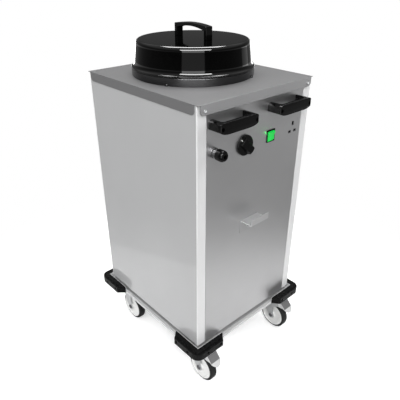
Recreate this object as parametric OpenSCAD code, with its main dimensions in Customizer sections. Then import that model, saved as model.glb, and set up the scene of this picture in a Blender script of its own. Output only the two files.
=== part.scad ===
// A plate dispenser cart: a sheet steel cabinet on four swivel castors. Plates stand on
// a spring-loaded lift in a heated tube, under a lift-off lid.
// Millimetres. X runs across the cart, Y from the front to the rear, Z up from the floor.

/* [Top] */
// Working height of the top plate above the floor
top_z = 882; // [840:1:940]
// Width of the top plate
top_w = 420; // [410:1:480]
// Depth of the top plate
top_d = 464; // [450:1:540]
// Height of the skirt round the top plate
skirt_h = 25; // [18:1:34]
// How far the top plate overhangs the front and rear panels
top_overhang = 5; // [3:0.5:10]

/* [Cabinet] */
// Thickness of the cabinet's sheet steel
sheet_t = 1.2; // [0.8:0.1:1.6]
// Width of a corner post on the front and rear faces
post_w = 29; // [24:1:36]
// Width of the strip of a corner post on the side faces
post_side = 3; // [2.8:0.1:6]
// Height of the recessed plinth between chassis and panels
plinth_h = 16; // [12:1:24]
// How far the plinth stands back behind the panels
plinth_inset = 13; // [8:1:20]

/* [Chassis] */
// Ledge of the chassis beside the side panels
ledge_x = 7.2; // [5:0.1:14]
// Ledge of the chassis before the front panel and behind the rear panel
ledge_y = 9.6; // [6:0.1:16]
// Height of the chassis rim
rim_h = 8.3; // [6:0.1:11]
// Length of a bumper along each side of its corner
bumper_l = 100; // [85:1:120]
// Thickness of a bumper
bumper_t = 23.3; // [18:0.1:30]
// Height of a bumper
bumper_h = 23.8; // [18:0.1:28]

/* [Castors] */
// Diameter of a castor wheel
wheel_d = 100; // [92:1:104]
// Width of a castor tyre
tyre_w = 22; // [20:1:26]
// Height of a castor from the floor to its mounting plate
castor_h = 138; // [135:1:146]
// Distance by which a wheel trails behind its swivel axis
castor_trail = 27.3; // [24:0.1:30]
// Distance of the swivel axes from the sides of the chassis
castor_side = 43.7; // [43.7:0.1:50]
// Distance of the swivel axes from the front and the rear of the chassis
castor_end = 51.6; // [51:0.1:60]
// Width of a brake pedal
pedal_w = 36; // [32:1:40]

/* [Lid and tube] */
// Distance of the dispenser tube's axis behind the middle of the cabinet
tube_y = 21; // [15:1:26]
// Inner radius of the dispenser tube
tube_r = 150; // [146:1:151]
// Height of the dark collar on the top plate
collar_h = 20; // [14:1:28]
// Radius of the collar
collar_r = 169.2; // [168:0.1:172]
// Height of the lid
lid_h = 72.2; // [60:0.1:90]
// Radius of the lid's foot
lid_foot_r = 169.5; // [168.5:0.1:172]
// Radius of the lid's wall above the foot
lid_wall_r = 160.6; // [159:0.1:164]
// Radius of the lid's wall below the shoulder
lid_top_r = 155.6; // [153:0.1:158]
// Thickness of the lid's wall
lid_t = 3; // [2:0.1:4]
// Length of the lid handle
lid_handle_l = 129; // [110:1:140]
// Height of the lid handle
lid_handle_h = 38.7; // [34:0.1:48]
// Turn of the lid handle in degrees
lid_handle_turn = -90; // [-90:1:90]

/* [Plate lift] */
// Travel of the plate platform
lift_travel = 415; // [340:1:425]
// Depth of the raised platform below the top plate
platform_depth = 47; // [38:1:60]
// Radius of the plate platform
platform_r = 136; // [120:1:137]
// Height of the carriage frame below the platform
carriage_h = 208; // [190:1:215]

/* [Front fittings] */
// Length of a push handle
handle_l = 127; // [115:1:135]
// Distance of a push handle's front from the panel
handle_reach = 41.7; // [36:0.1:52]
// Height of a push handle's bow
handle_h = 28.6; // [20:0.1:32]
// Distance of the middle of a push handle from the front panel's edge
handle_inset = 76; // [73:0.5:85]
// How far both push handles stand left of even places
handle_shift = 6.9; // [0:0.1:8]
// Distance of the middle of the push handles below the top
handle_drop = 54.7; // [53:0.1:58]
// Radius of the thermostat knob
knob_r = 27; // [22:1:28]
// Length of the thermostat knob
knob_l = 17; // [14:1:22]
// Distance of the knob and the rocker switch below the top
control_drop = 132; // [126:1:138]
// Distance of the knob left of the middle
knob_x = -49; // [-58:1:-45]
// Distance of the rocker switch right of the middle
rocker_x = 52.5; // [46:0.5:62]
// Distance of the middle of the plug park from the front panel's edge
plug_inset = 33.6; // [33:0.1:44]
// Distance of the middle of the plug park below the top
plug_drop = 130; // [126:1:138]
// Distance of the cable gland from the front panel's edge
gland_inset = 22.5; // [21.5:0.5:34]
// Distance of the cable gland below the top
gland_drop = 122.5; // [114:0.5:132]
// Radius of the gland's cable bore
cable_r = 5; // [3:0.1:6]
// Width of the cable hook
hook_w = 70; // [60:1:90]
// Distance of the cable hook's lip from the panel
hook_reach = 42; // [34:1:55]
// Distance of the cable hook's shelf below the top
hook_drop = 354; // [282:1:402]

/* [Hidden] */
$fn = 72;

// Clearances: between pieces that pass, in a pinned bore, round a screw, and cut overrun
gap = 0.3;
pin_gap = 0.05;
screw_gap = 0.1;
over = 1;

// Cabinet, worked out from the top plate
body_w = top_w - 2 * (sheet_t + gap);
body_d = top_d - 2 * top_overhang;
face_y = -body_d / 2;
inner_y = face_y + sheet_t;
panel_half = body_w / 2 - post_w;
chassis_t = 1.5;
channel_t = 2;
channel_h = 9.5;
channel_w = 96;
chassis_w = body_w + 2 * ledge_x;
chassis_d = body_d + 2 * ledge_y;
chassis_top = castor_h + channel_h + chassis_t;
plinth_top = chassis_top + plinth_h;
panel_h = top_z - sheet_t - plinth_top;
panel_gap = 0.8;
fold = 10;
plinth_reveal = 0.5;
joggle_w = 18;
post_bend_r = 1;
post_r = sheet_t + post_bend_r;

// Skirt round the top plate
skirt_end_x = 8;
skirt_end_y = 12;
skirt_r = 11;
top_screw_drop = 15;
top_screw_z = top_z - top_screw_drop;
top_screw_inset = 20;
top_screw_x = body_w / 2 - top_screw_inset;
top_screw_r = 2;
top_screw_head_r = 4;
top_screw_head_h = 2;
top_screw_tail = 6;

// Bumpers
bumper_drop = 7.3;
bumper_z = chassis_top - bumper_drop;
bumper_corner_r = 26;
bumper_bevel = 19.6;
bumper_lip = 2;
bumper_lip_in = 7.8;
bumper_screw_near = 20.5;
bumper_screw_pitch = 51;
bumper_screw_r = 2.5;
bumper_screw_head_r = 4.6;
bumper_screw_head_h = 3;
bumper_screw_sink = 15;
bumper_screw_up = 4.2;
bumper_screw_z = chassis_top + bumper_screw_up;
upstand_h = bumper_h - bumper_drop;

// Castors
castor_x = chassis_w / 2 - castor_side;
castor_y = chassis_d / 2 - castor_end;
hub_z = wheel_d / 2;
plate_w = 82;
plate_l = 98;
plate_t = 3;
plate_corner_r = 8;
bolt_px = 60;
bolt_py = 77;
bolt_r = 4;
bolt_head_r = 7.5;
bolt_head_h = 5;
bolt_nut_h = 5;
boss_r = 27;
boss_h = 3.7;
kingpin_r = 6;
kingpin_nut_r = 10;
kingpin_nut_h = 4.5;
cup_h = 10;
cup_r = 31;
head_t = 3;
head_top = castor_h - plate_t - boss_h - gap - cup_h;
head_bottom = head_top - head_t;
leg_t = 2.5;
leg_in = 16;
leg_out = leg_in + leg_t;
leg_end_r = 12;
leg_knee_h = 26;
leg_waist_h = 10;
leg_web = 6;
leg_shoulder = 26;
axle_r = 5;
axle_head_r = 7.5;
axle_head_h = 3.2;
hub_r = 13;
hub_w = 2 * (leg_in - gap);
rim_r = 39;
rim_out = 14.3;
rim_lip = 5;
web_out = 11;
rim_groove = 1.2;
tyre_depth = wheel_d / 2 - rim_r;
tyre_edge_r = 4;
pivot_y = -46;
pivot_z = 107;
pivot_r = 2.5;
ear_r = 7;
cheek_t = 2.2;
cheek_out = leg_in - gap;
pedal_t = 2.5;
pedal_tip_y = -94;
pedal_tip_z = 98;
pedal_bend_y = -82;
pedal_bend_z = 107;
pedal_top_y = -64;
pedal_top_z = 125;
cheek_r = 6;
shoe_w = 22;
shoe_back = 15;
shoe_nose = 9;
shoe_drop = 10;
shoe_heel = 3;

// The cabinet's place along Y puts the origin in the middle of the whole cart
front_reach = castor_y - pedal_tip_y;
rear_reach = chassis_d / 2 + bumper_t;
cart_y = (front_reach - rear_reach) / 2;

// Tube, collar and lid
tube_t = 1.2;
tube_out = tube_r + tube_t;
tube_lift = 36;
tube_bottom = chassis_top + tube_lift;
tube_flange = 12;
tube_hole_r = tube_out + 2;
collar_t = 3.8;
collar_in = tube_r - gap - collar_t;
collar_drop = 7;
collar_edge = 2;
lug_r = 4;
lug_h = 5;
lug_turn = -154.5;
slot_w = 14;
slot_margin = 12;
arm_angles = [30, 150, 270];
base_t = 1.5;
base_r = tube_out + 5;
base_foot_w = 30;
base_foot_l = 22;
heater_ring_r = 100;
heater_r = 4.25;
heater_gap = 8;
heater_post_r = 5;
heater_leg_l = 26;
heater_leg_turn = 12;
guide_r = 4;
guide_ring_r = tube_r - guide_r - 3;
guide_foot = 12;
guide_arm_r = 3;
guide_top = top_z - 22;
lid_lip_h = 4;
lid_flare_h = 15;
lid_shoulder_h = 12;
lid_crown_r = 145.6;
lid_arc_steps = 8;
lid_z = top_z + collar_h;
handle_leg = 10;
handle_across = 22;
handle_arch = 8.4;
handle_bow_r = 404;
handle_bow_in_r = 192;
bow_facets = 480;
handle_edge_r = 6;
lid_screw_r = 2.5;
lid_screw_l = 16;
lid_screw_head_r = 4.5;
lid_screw_head_h = 2.5;

// Plate lift
platform_z = top_z - platform_depth;
platform_t = 2;
platform_rim = 12;
platform_hole_r = 14;
platform_hole_ring = 78;
pillar_r = 22;
pillar_t = 2;
arm_w = slot_w - 2 * gap;
arm_h = 10;
arm_reach = 176;
arm_z = platform_z - carriage_h;
spring_ring_r = 170;
spring_r = 7;
spring_eye_r = 2.2;
hanger_z = top_z - 20;
hanger_t = 3;
hanger_w = 22;
hanger_band_h = 14;

// Front fittings
handle_x = panel_half - handle_inset;
plug_x = panel_half - plug_inset;
gland_x = gland_inset - panel_half;
handle_z = top_z - handle_drop;
control_z = top_z - control_drop;
plug_z = top_z - plug_drop;
gland_z = top_z - gland_drop;
hook_z = top_z - hook_drop;
handle_arm = 14;
handle_grip = 10.5;
handle_corner_r = 4;
handle_round = 10;
handle_inner_r = 7;
handle_edge = 3;
handle_screw_r = 2.5;
handle_bore_r = 4.6;
handle_bore_l = 26;
handle_bore_inset = 7;
nut_h = 4;
nut_r = 4.5;
knob_skirt = 6;
knob_bar_w = 27;
knob_bar_top_w = 19;
knob_low = 10;
knob_bar_end = 2.2;
knob_edge = 2;
knob_turn = 133;
spindle_r = 3;
spindle_in = 18;
spindle_grip = 12;
panel_spindle_hole_r = 5;
thermostat_w = 34;
thermostat_plate_t = 2;
thermostat_body_r = 17;
thermostat_body_l = 30;
bezel_rim = 1.3;
bezel_t = 2;
switch_wall = 1.2;
switch_depth = 22;
rocker_w = 25.4;
rocker_pin_r = 1.5;
rocker_pivot = 3.5;
rocker_tilt = 9;
rocker_face = 8.2;
rocker_half = 11.3;
rocker_dip = 2.2;
rocker_back = 5;
rocker_back_half = 6;
rocker_side = 2;
rocker_side_half = 12.8;
rocker_swing_r = sqrt(rocker_face * rocker_face + rocker_half * rocker_half);
switch_w = rocker_w + 2 * (gap + switch_wall);
switch_h = 2 * (rocker_swing_r + gap + switch_wall);
rocker_pin_l = gap + switch_wall;
blade_w = 6.3;
blade_t = 0.8;
blade_l = 10;
blade_pitch = 12;
earth_w = 5;
earth_h = 9;
pole_w = 7.4;
pole_h = 5;
pole_pitch = 22.2;
earth_up = 11.2;
pole_down = 11.2;
park_w = 46;
park_h = 44;
park_d = 22;
park_slot_d = 18;
park_r = 6;
gland_flange_r = 13.5;
gland_flange_t = 6;
gland_thread_r = 9;
gland_neck_r = 11;
gland_neck_l = 10;
gland_out = 30;
gland_in = 12;
gland_nut_r = 14.3;
gland_nut_l = 22;
gland_nut_end_r = 8.5;
gland_nut_start = 18;
gland_dome_l = 10;
locknut_r = 12.5;
locknut_h = 5;
hook_x = -16.5;
hook_t = 1.5;
hook_flange = 40;
hook_lip = 19;
hook_screw_drop = 25;
hook_screw_x = -21;
hook_screw_r = 2;
hook_screw_head_r = 3.6;
hook_screw_head_h = 2;

// Colours
steel = [0.72, 0.73, 0.74];
pale_steel = [0.86, 0.87, 0.88];
black = [0.06, 0.06, 0.065];
dark = [0.16, 0.16, 0.17];
white = [0.93, 0.93, 0.92];
zinc = [0.6, 0.61, 0.62];
green = [0.1, 0.85, 0.25];

// Places a piece by its distance from the cabinet's middle and from the floor
module seat(x = 0, y = 0, z = 0) translate([x, y + cart_y, z]) children();

// Turns a drawing of a front fitting so that its Y points up and it grows from the panel outwards
module on_front(x, z) seat(x, face_y, z) rotate([90, 0, 0]) children();

// Turns a side view, drawn as Y and Z, and extrudes it across the cart by w about its middle
module side_view(w) rotate([90, 0, 90]) linear_extrude(w, center = true) children();

// Repeats a corner piece at a corner of a w by d rectangle, its arms pointing inwards
module at_corner(w, d, sx, sy)
    seat(sx * w / 2, sy * d / 2)
        mirror([sx > 0 ? 1 : 0, 0, 0])
            mirror([0, sy > 0 ? 1 : 0, 0])
                children();

// Points along an arc of an ellipse
function arc(cx, cy, rx, ry, from, to, steps) =
    [for (i = [0:steps]) let (a = from + (to - from) * i / steps) [cx + rx * cos(a), cy + ry * sin(a)]];

// A w by h rectangle about the origin with round corners
module round_rect(w, h, r) {
    square([w - 2 * r, h], center = true);
    square([w, h - 2 * r], center = true);
    for (sx = [-1, 1], sy = [-1, 1])
        translate([sx * (w / 2 - r), sy * (h / 2 - r)]) circle(r);
}

// Chassis tray with a turned-down rim and upstands behind the bumpers
module chassis() color(steel) difference() {
    union() {
        seat(z = chassis_top - rim_h / 2) difference() {
            cube([chassis_w, chassis_d, rim_h], center = true);
            translate([0, 0, -chassis_t])
                cube([chassis_w - 2 * chassis_t, chassis_d - 2 * chassis_t, rim_h], center = true);
        }
        for (sx = [-1, 1], sy = [-1, 1])
            at_corner(chassis_w, chassis_d, sx, sy)
                translate([0, 0, chassis_top]) upstand();
    }
    bumper_screw_places() cylinder(r = bumper_screw_r + screw_gap, h = 4 * chassis_t, center = true);
}

module upstand() {
    cube([bumper_l, chassis_t, upstand_h]);
    cube([chassis_t, bumper_l, upstand_h]);
}

// Puts a child at each bumper screw, its Z pointing out of the cart through the bumper's inner face
module bumper_screw_places()
    for (sx = [-1, 1], sy = [-1, 1], n = [0, 1])
        at_corner(chassis_w, chassis_d, sx, sy) {
            along = bumper_screw_near + n * bumper_screw_pitch;
            translate([along, 0, bumper_screw_z]) rotate([90, 0, 0]) children();
            translate([0, along, bumper_screw_z]) rotate([0, -90, 0]) children();
        }

// Two channels under the tray that carry the castors
module cross_channels() color(zinc)
    for (sy = [-1, 1])
        seat(0, sy * castor_y, castor_h) difference() {
            translate([0, 0, channel_h / 2])
                cube([chassis_w - 2 * (chassis_t + gap), channel_w, channel_h], center = true);
            translate([0, 0, channel_t + channel_h / 2])
                cube([chassis_w, channel_w - 2 * channel_t, channel_h], center = true);
            for (sx = [-1, 1])
                translate([sx * castor_x, 0, channel_t / 2])
                    bolt_pattern() cylinder(r = bolt_r + screw_gap, h = channel_t + over, center = true);
        }

module bolt_pattern()
    for (sx = [-1, 1], sy = [-1, 1])
        translate([sx * bolt_px / 2, sy * bolt_py / 2, 0]) children();

// Recessed rails between the tray and the panels, open outwards
module plinth_profile() {
    square([plinth_inset + sheet_t - plinth_reveal, sheet_t]);
    translate([0, plinth_h - sheet_t]) square([plinth_inset + sheet_t - plinth_reveal, sheet_t]);
    square([sheet_t, plinth_h]);
}

module plinth_rails() color(dark) {
    long = body_w - 2 * plinth_reveal;
    short = body_d - 2 * (plinth_inset + sheet_t);
    for (turn = [0, 180]) {
        seat(z = chassis_top) rotate(turn)
            translate([0, body_d / 2 - plinth_inset - sheet_t, 0]) side_view(long) plinth_profile();
        seat(z = chassis_top) rotate(turn - 90)
            translate([0, body_w / 2 - plinth_inset - sheet_t, 0]) side_view(short) plinth_profile();
    }
}

// Corner post seen from above: a rounded corner, a front leg with a return, a joggled side leg
module post_profile() {
    intersection() {
        translate([post_r, post_r]) difference() {
            circle(post_r);
            circle(post_r - sheet_t);
        }
        square(post_r);
    }
    translate([post_r, 0]) square([post_w - post_r, sheet_t]);
    translate([post_w - sheet_t, 0]) square([sheet_t, fold]);
    translate([0, post_r]) square([sheet_t, post_side - post_r]);
    translate([sheet_t / 2, post_side - sheet_t]) square([1.5 * sheet_t, sheet_t]);
    translate([sheet_t, post_side - sheet_t]) square([sheet_t, joggle_w]);
}

module corner_posts() color(pale_steel) difference() {
    for (sx = [-1, 1], sy = [-1, 1])
        at_corner(body_w, body_d, sx, sy)
            translate([0, 0, plinth_top]) linear_extrude(panel_h) post_profile();
    top_screw_places()
        cylinder(r = top_screw_r + screw_gap, h = 4 * top_overhang, center = true);
}

// Side panel between the posts, with a return along its foot and its head
module side_panel(sx) {
    wide = body_d - 2 * (post_side + gap);
    lip = body_d - 2 * (post_side + joggle_w + fold);
    seat(sx * body_w / 2, 0, plinth_top) mirror([sx > 0 ? 1 : 0, 0, 0]) {
        translate([0, -wide / 2, 0]) cube([sheet_t, wide, panel_h]);
        for (z = [0, panel_h - sheet_t])
            translate([0, -lip / 2, z]) cube([fold + sheet_t, lip, sheet_t]);
    }
}

module side_left() color(steel) side_panel(-1);
module side_right() color(steel) side_panel(1);

// Front or rear panel between the posts, drawn with its outer face on Y = 0 and growing to +Y
module face_panel() {
    wide = 2 * (panel_half - panel_gap);
    translate([-wide / 2, 0, 0]) cube([wide, sheet_t, panel_h]);
    for (sx = [-1, 1])
        translate([sx * (wide - sheet_t) / 2 - sheet_t / 2, 0, 0]) cube([sheet_t, fold, panel_h]);
    for (z = [0, panel_h - sheet_t])
        translate([-wide / 2, 0, z]) cube([wide, fold, sheet_t]);
}

module rear_panel() color(steel) seat(0, -face_y, plinth_top) rotate(180) face_panel();

module front_panel() color(steel) difference() {
    seat(0, face_y, plinth_top) face_panel();
    through = 4 * sheet_t;
    handle_screw_places() cylinder(r = handle_screw_r + screw_gap, h = through, center = true);
    on_front(knob_x, control_z) cylinder(r = panel_spindle_hole_r, h = through, center = true);
    on_front(rocker_x, control_z) cube([switch_w + gap, switch_h + gap, through], center = true);
    on_front(plug_x, plug_z) linear_extrude(through, center = true) plug_slots();
    on_front(gland_x, gland_z)
        cylinder(r = gland_thread_r + screw_gap, h = through, center = true);
    on_front(hook_screw_x, hook_z - hook_screw_drop)
        cylinder(r = hook_screw_r + screw_gap, h = through, center = true);
}

// Top plate with skirts that stop short of the corners
module skirt_outline(l) {
    translate([-l / 2, -(skirt_h - skirt_r)]) square([l, skirt_h - skirt_r]);
    translate([-(l / 2 - skirt_r), -skirt_h]) square([l - 2 * skirt_r, skirt_h]);
    for (s = [-1, 1]) translate([s * (l / 2 - skirt_r), -(skirt_h - skirt_r)]) circle(skirt_r);
}

module top_plate() color(steel) difference() {
    union() {
        seat(z = top_z - sheet_t / 2) cube([top_w, top_d, sheet_t], center = true);
        for (s = [-1, 1]) {
            seat(0, s * (top_d - sheet_t) / 2, top_z) rotate([90, 0, 0])
                linear_extrude(sheet_t, center = true) skirt_band(top_w - 2 * skirt_end_x);
            seat(s * (top_w - sheet_t) / 2, 0, top_z) side_view(sheet_t)
                skirt_band(top_d - 2 * skirt_end_y);
        }
    }
    seat(0, tube_y, top_z) cylinder(r = tube_hole_r, h = 4 * sheet_t, center = true);
    top_screw_places()
        cylinder(r = top_screw_r + screw_gap, h = 4 * top_overhang, center = true);
}

// The skirt's outline, cut level with the plate
module skirt_band(l) intersection() {
    skirt_outline(l);
    translate([-l / 2, -skirt_h]) square([l, skirt_h]);
}

// Puts a child at each skirt screw, its Z pointing out of the cart and starting at the skirt's face
module top_screw_places()
    for (sx = [-1, 1], turn = [0, 180])
        seat(z = top_screw_z) rotate(turn)
            translate([sx * top_screw_x, -top_d / 2, 0]) rotate([90, 0, 0]) children();

module top_screws() color(zinc) top_screw_places() {
    intersection() {
        translate([0, 0, -top_screw_head_r]) sphere(r = top_screw_head_r + top_screw_head_h);
        cylinder(r = top_screw_head_r, h = 2 * top_screw_head_h);
    }
    translate([0, 0, -top_overhang - top_screw_tail])
        cylinder(r = top_screw_r, h = top_overhang + top_screw_tail + over);
}

// Collar ring round the tube's mouth, hollow below, with four lugs on the plate
module tube_collar() color(dark) seat(0, tube_y, top_z) {
    rotate_extrude() polygon([
        [collar_r - collar_t, 0], [collar_r, 0], [collar_r, collar_h - collar_edge],
        [collar_r - collar_edge, collar_h], [collar_in + collar_edge, collar_h],
        [collar_in, collar_h - collar_edge], [collar_in, -collar_drop],
        [collar_in + collar_t, -collar_drop], [collar_in + collar_t, collar_h - collar_t],
        [collar_r - collar_t, collar_h - collar_t]
    ]);
    for (n = [0:3]) rotate(lug_turn + 90 * n) translate([collar_r - collar_edge, 0, 0]) difference() {
        translate([lug_r / 2, 0, 0]) cylinder(r = lug_r, h = lug_h);
        translate([-collar_r + collar_edge, 0, -over])
            cylinder(r = collar_r - collar_t / 2, h = lug_h + 2 * over);
    }
}

// Tube that hangs in the top plate by its flange, with three slots for the carriage's arms
module dispenser_tube() color(steel) seat(0, tube_y, 0) difference() {
    union() {
        translate([0, 0, tube_bottom]) cylinder(r = tube_out, h = top_z + tube_t - tube_bottom);
        translate([0, 0, top_z]) cylinder(r = tube_out + tube_flange, h = tube_t);
    }
    translate([0, 0, tube_bottom - over])
        cylinder(r = tube_r, h = top_z - tube_bottom + 2 * over + tube_t);
    slot_low = arm_z - lift_travel - slot_margin;
    slot_high = arm_z + arm_h + slot_margin;
    for (a = arm_angles) rotate(a)
        translate([tube_r - tube_t, -slot_w / 2, slot_low])
            cube([3 * tube_t, slot_w, slot_high - slot_low]);
}

// Base under the tube on three bent feet, with posts for the heating element
module tube_base() color(zinc) seat(0, tube_y, tube_bottom - base_t) {
    foot_h = tube_bottom - base_t - chassis_top;
    difference() {
        cylinder(r = base_r, h = base_t);
        for (s = [-1, 1]) rotate(s * heater_leg_turn - 90) translate([heater_ring_r, 0, -over])
            cylinder(r = heater_r + over, h = base_t + 2 * over);
    }
    for (a = arm_angles) rotate(a) {
        translate([base_r - base_foot_l, -base_foot_w / 2, -foot_h]) cube([base_t, base_foot_w, foot_h]);
        translate([base_r - base_foot_l, -base_foot_w / 2, -foot_h]) cube([base_foot_l, base_foot_w, base_t]);
    }
    for (n = [0:2]) rotate(30 + 120 * n) translate([heater_ring_r, 0, base_t])
        cylinder(r = heater_post_r, h = heater_gap - gap / 3);
}

// Ring-shaped heating element with two ends through the base
module heater() color(zinc) seat(0, tube_y, tube_bottom + heater_gap + heater_r) {
    rotate_extrude() translate([heater_ring_r, 0]) circle(heater_r);
    for (s = [-1, 1]) rotate(s * heater_leg_turn - 90) translate([heater_ring_r, 0, -heater_leg_l])
        cylinder(r = heater_r - over, h = heater_leg_l);
}

// Four rods inside the tube that keep the plates in line
module plate_guides() color(zinc)
    for (n = [0:3]) seat(0, tube_y, 0) rotate(45 + 90 * n) {
        translate([guide_ring_r, 0, tube_bottom + gap]) cylinder(r = guide_r, h = guide_top - tube_bottom);
        for (z = [tube_bottom + guide_foot, guide_top - guide_foot])
            translate([guide_ring_r, 0, z]) rotate([0, 90, 0])
                cylinder(r = guide_arm_r, h = tube_r - guide_ring_r - gap);
    }

// Band round the tube with three lugs that carry the springs
module spring_ring() color(zinc) seat(0, tube_y, hanger_z) difference() {
    union() {
        translate([0, 0, -hanger_band_h]) cylinder(r = tube_out + screw_gap + hanger_t, h = hanger_band_h);
        for (a = arm_angles) rotate(a) {
            translate([tube_out, -hanger_w / 2, 0]) cube([arm_reach - tube_out, hanger_w, hanger_t]);
        }
    }
    translate([0, 0, -hanger_band_h - over])
        cylinder(r = tube_out + screw_gap, h = hanger_band_h + hanger_t + 2 * over);
}

// Thermostat behind the front panel
module thermostat() color(dark) seat(knob_x, inner_y, control_z) rotate([-90, 0, 0]) difference() {
    union() {
        translate([0, 0, thermostat_plate_t / 2])
            cube([thermostat_w, thermostat_w, thermostat_plate_t], center = true);
        cylinder(r = thermostat_body_r, h = thermostat_body_l);
    }
    translate([0, 0, -over]) cylinder(r = spindle_r + pin_gap, h = spindle_in + 2 * over);
}

// Rocker switch: a bezel before the panel and a box through it
module switch_housing() color(black) on_front(rocker_x, control_z) difference() {
    union() {
        upright_box(switch_w + 2 * bezel_rim, switch_h + 2 * bezel_rim, 0, bezel_t);
        upright_box(switch_w, switch_h, -switch_depth, bezel_t);
        for (s = [-1, 1]) translate([0, s * blade_pitch / 2, 0])
            upright_box(blade_w, blade_t, -switch_depth - blade_l, -switch_depth + over / 2);
    }
    upright_box(switch_w - 2 * switch_wall, switch_h - 2 * switch_wall,
        -switch_depth + switch_wall, bezel_t + over);
    translate([0, 0, -rocker_pivot]) rotate([0, 90, 0])
        cylinder(r = rocker_pin_r + pin_gap, h = switch_w + over, center = true);
}

// A w by h block about the Z axis from one height to another
module upright_box(w, h, from, to) translate([-w / 2, -h / 2, from]) cube([w, h, to - from]);

// Rocker with two pins, its face dished to the middle, tilted to the lit position
module rocker() color(green) seat(rocker_x, face_y + rocker_pivot, control_z) {
    rotate([rocker_tilt, 0, 0]) side_view(rocker_w) polygon([
        [-rocker_face, -rocker_half], [-rocker_face + rocker_dip, 0], [-rocker_face, rocker_half],
        [-rocker_side, rocker_side_half], [rocker_back, rocker_back_half],
        [rocker_back, -rocker_back_half], [-rocker_side, -rocker_side_half]
    ]);
    rotate([0, 90, 0]) cylinder(r = rocker_pin_r, h = rocker_w + 2 * rocker_pin_l, center = true);
}

// Three slots that hold the cart's plug while the cord is put away
module plug_slots() {
    translate([0, earth_up]) square([earth_w, earth_h], center = true);
    for (s = [-1, 1]) translate([s * pole_pitch / 2, -pole_down]) square([pole_w, pole_h], center = true);
}

module plug_park() color(black) seat(plug_x, inner_y, plug_z) rotate([90, 0, 0]) difference() {
    translate([0, 0, -park_d]) linear_extrude(park_d) round_rect(park_w, park_h, park_r);
    translate([0, 0, -park_slot_d]) linear_extrude(park_slot_d + over) plug_slots();
}

// Cable gland: hexagon, neck and thread through the panel
module gland_body() color(dark) on_front(gland_x, gland_z) difference() {
    union() {
        cylinder(r = gland_flange_r, h = gland_flange_t, $fn = 6);
        cylinder(r = gland_neck_r, h = gland_flange_t + gland_neck_l);
        translate([0, 0, -sheet_t - gland_in])
            cylinder(r = gland_thread_r, h = gland_out + sheet_t + gland_in);
    }
    translate([0, 0, -sheet_t - gland_in - over])
        cylinder(r = cable_r, h = gland_out + sheet_t + gland_in + 2 * over);
}

// Domed nut of the gland
module gland_nut() color(black) on_front(gland_x, gland_z) difference() {
    end = gland_nut_start + gland_nut_l;
    rotate_extrude() polygon(concat(
        [[0, gland_nut_start], [gland_nut_r, gland_nut_start]],
        arc(gland_nut_end_r, end - gland_dome_l, gland_nut_r - gland_nut_end_r, gland_dome_l, 0, 90, 5),
        [[0, end]]
    ));
    translate([0, 0, gland_nut_start - over])
        cylinder(r = gland_thread_r + pin_gap, h = gland_out + gap + over - gland_nut_start);
    translate([0, 0, gland_nut_start]) cylinder(r = cable_r, h = gland_nut_l + over);
}

// Bent sheet hook for the coiled cable
module cable_hook() color(steel) difference() {
    seat(hook_x, face_y, hook_z) {
        translate([-hook_w / 2, -hook_t, -hook_flange]) cube([hook_w, hook_t, hook_flange + hook_t]);
        translate([-hook_w / 2, -hook_reach, 0]) cube([hook_w, hook_reach, hook_t]);
        translate([-hook_w / 2, -hook_reach, 0]) cube([hook_w, hook_t, hook_lip]);
    }
    on_front(hook_screw_x, hook_z - hook_screw_drop)
        cylinder(r = hook_screw_r + screw_gap, h = 4 * hook_t, center = true);
}

// Push handle seen from above, and seen from its end
module handle_plan() difference() {
    intersection() {
        translate([0, -handle_reach / 2]) square([handle_l, handle_reach], center = true);
        round_rect(handle_l, 2 * handle_reach, handle_corner_r);
    }
    round_rect(handle_l - 2 * handle_arm, 2 * (handle_reach - handle_grip), handle_inner_r);
}

module handle_end() {
    translate([-handle_reach / 2 + handle_edge / 2, 0])
        square([handle_reach - handle_edge, handle_h], center = true);
    translate([-handle_reach / 2, 0]) square([handle_reach, handle_h - 2 * handle_edge], center = true);
    for (s = [-1, 1])
        translate([-handle_reach + handle_edge, s * (handle_h / 2 - handle_edge)]) circle(handle_edge);
}

module push_handle(sx) difference() {
    seat(sx * handle_x - handle_shift, face_y, handle_z) intersection() {
        linear_extrude(handle_h, center = true) handle_plan();
        side_view(handle_l) handle_end();
        rotate([90, 0, 0]) linear_extrude(handle_reach) round_rect(handle_l, handle_h, handle_round);
    }
    handle_screw_places() {
        cylinder(r = handle_screw_r + screw_gap, h = handle_reach + over);
        translate([0, 0, handle_reach - handle_bore_l]) cylinder(r = handle_bore_r, h = handle_bore_l + over);
    }
}

// Puts a child at each push handle screw, its Z pointing out from the panel's face
module handle_screw_places()
    for (sx = [-1, 1], end = [-1, 1])
        on_front(sx * handle_x - handle_shift + end * (handle_l / 2 - handle_bore_inset), handle_z)
            children();

module handle_left() color(black) push_handle(-1);
module handle_right() color(black) push_handle(1);

// Screws and nuts that hold the handles, the cable hook and the gland
module panel_fixings() color(zinc) {
    handle_screw_places() {
        translate([0, 0, -sheet_t - nut_h - over])
            cylinder(r = handle_screw_r, h = handle_reach - handle_bore_l + sheet_t + nut_h + over);
        translate([0, 0, handle_reach - handle_bore_l])
            cylinder(r = handle_bore_r - 2 * screw_gap, h = handle_screw_r);
        translate([0, 0, -sheet_t - nut_h]) cylinder(r = nut_r, h = nut_h, $fn = 6);
    }
    on_front(hook_screw_x, hook_z - hook_screw_drop) {
        translate([0, 0, hook_t]) cylinder(r = hook_screw_head_r, h = hook_screw_head_h);
        translate([0, 0, -sheet_t - nut_h - over])
            cylinder(r = hook_screw_r, h = hook_t + sheet_t + nut_h + 2 * over);
        translate([0, 0, -sheet_t - nut_h]) cylinder(r = nut_r, h = nut_h, $fn = 6);
    }
    on_front(gland_x, gland_z) translate([0, 0, -sheet_t - locknut_h]) difference() {
        cylinder(r = locknut_r, h = locknut_h, $fn = 6);
        translate([0, 0, -over]) cylinder(r = gland_thread_r + pin_gap, h = locknut_h + 2 * over);
    }
}

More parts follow.
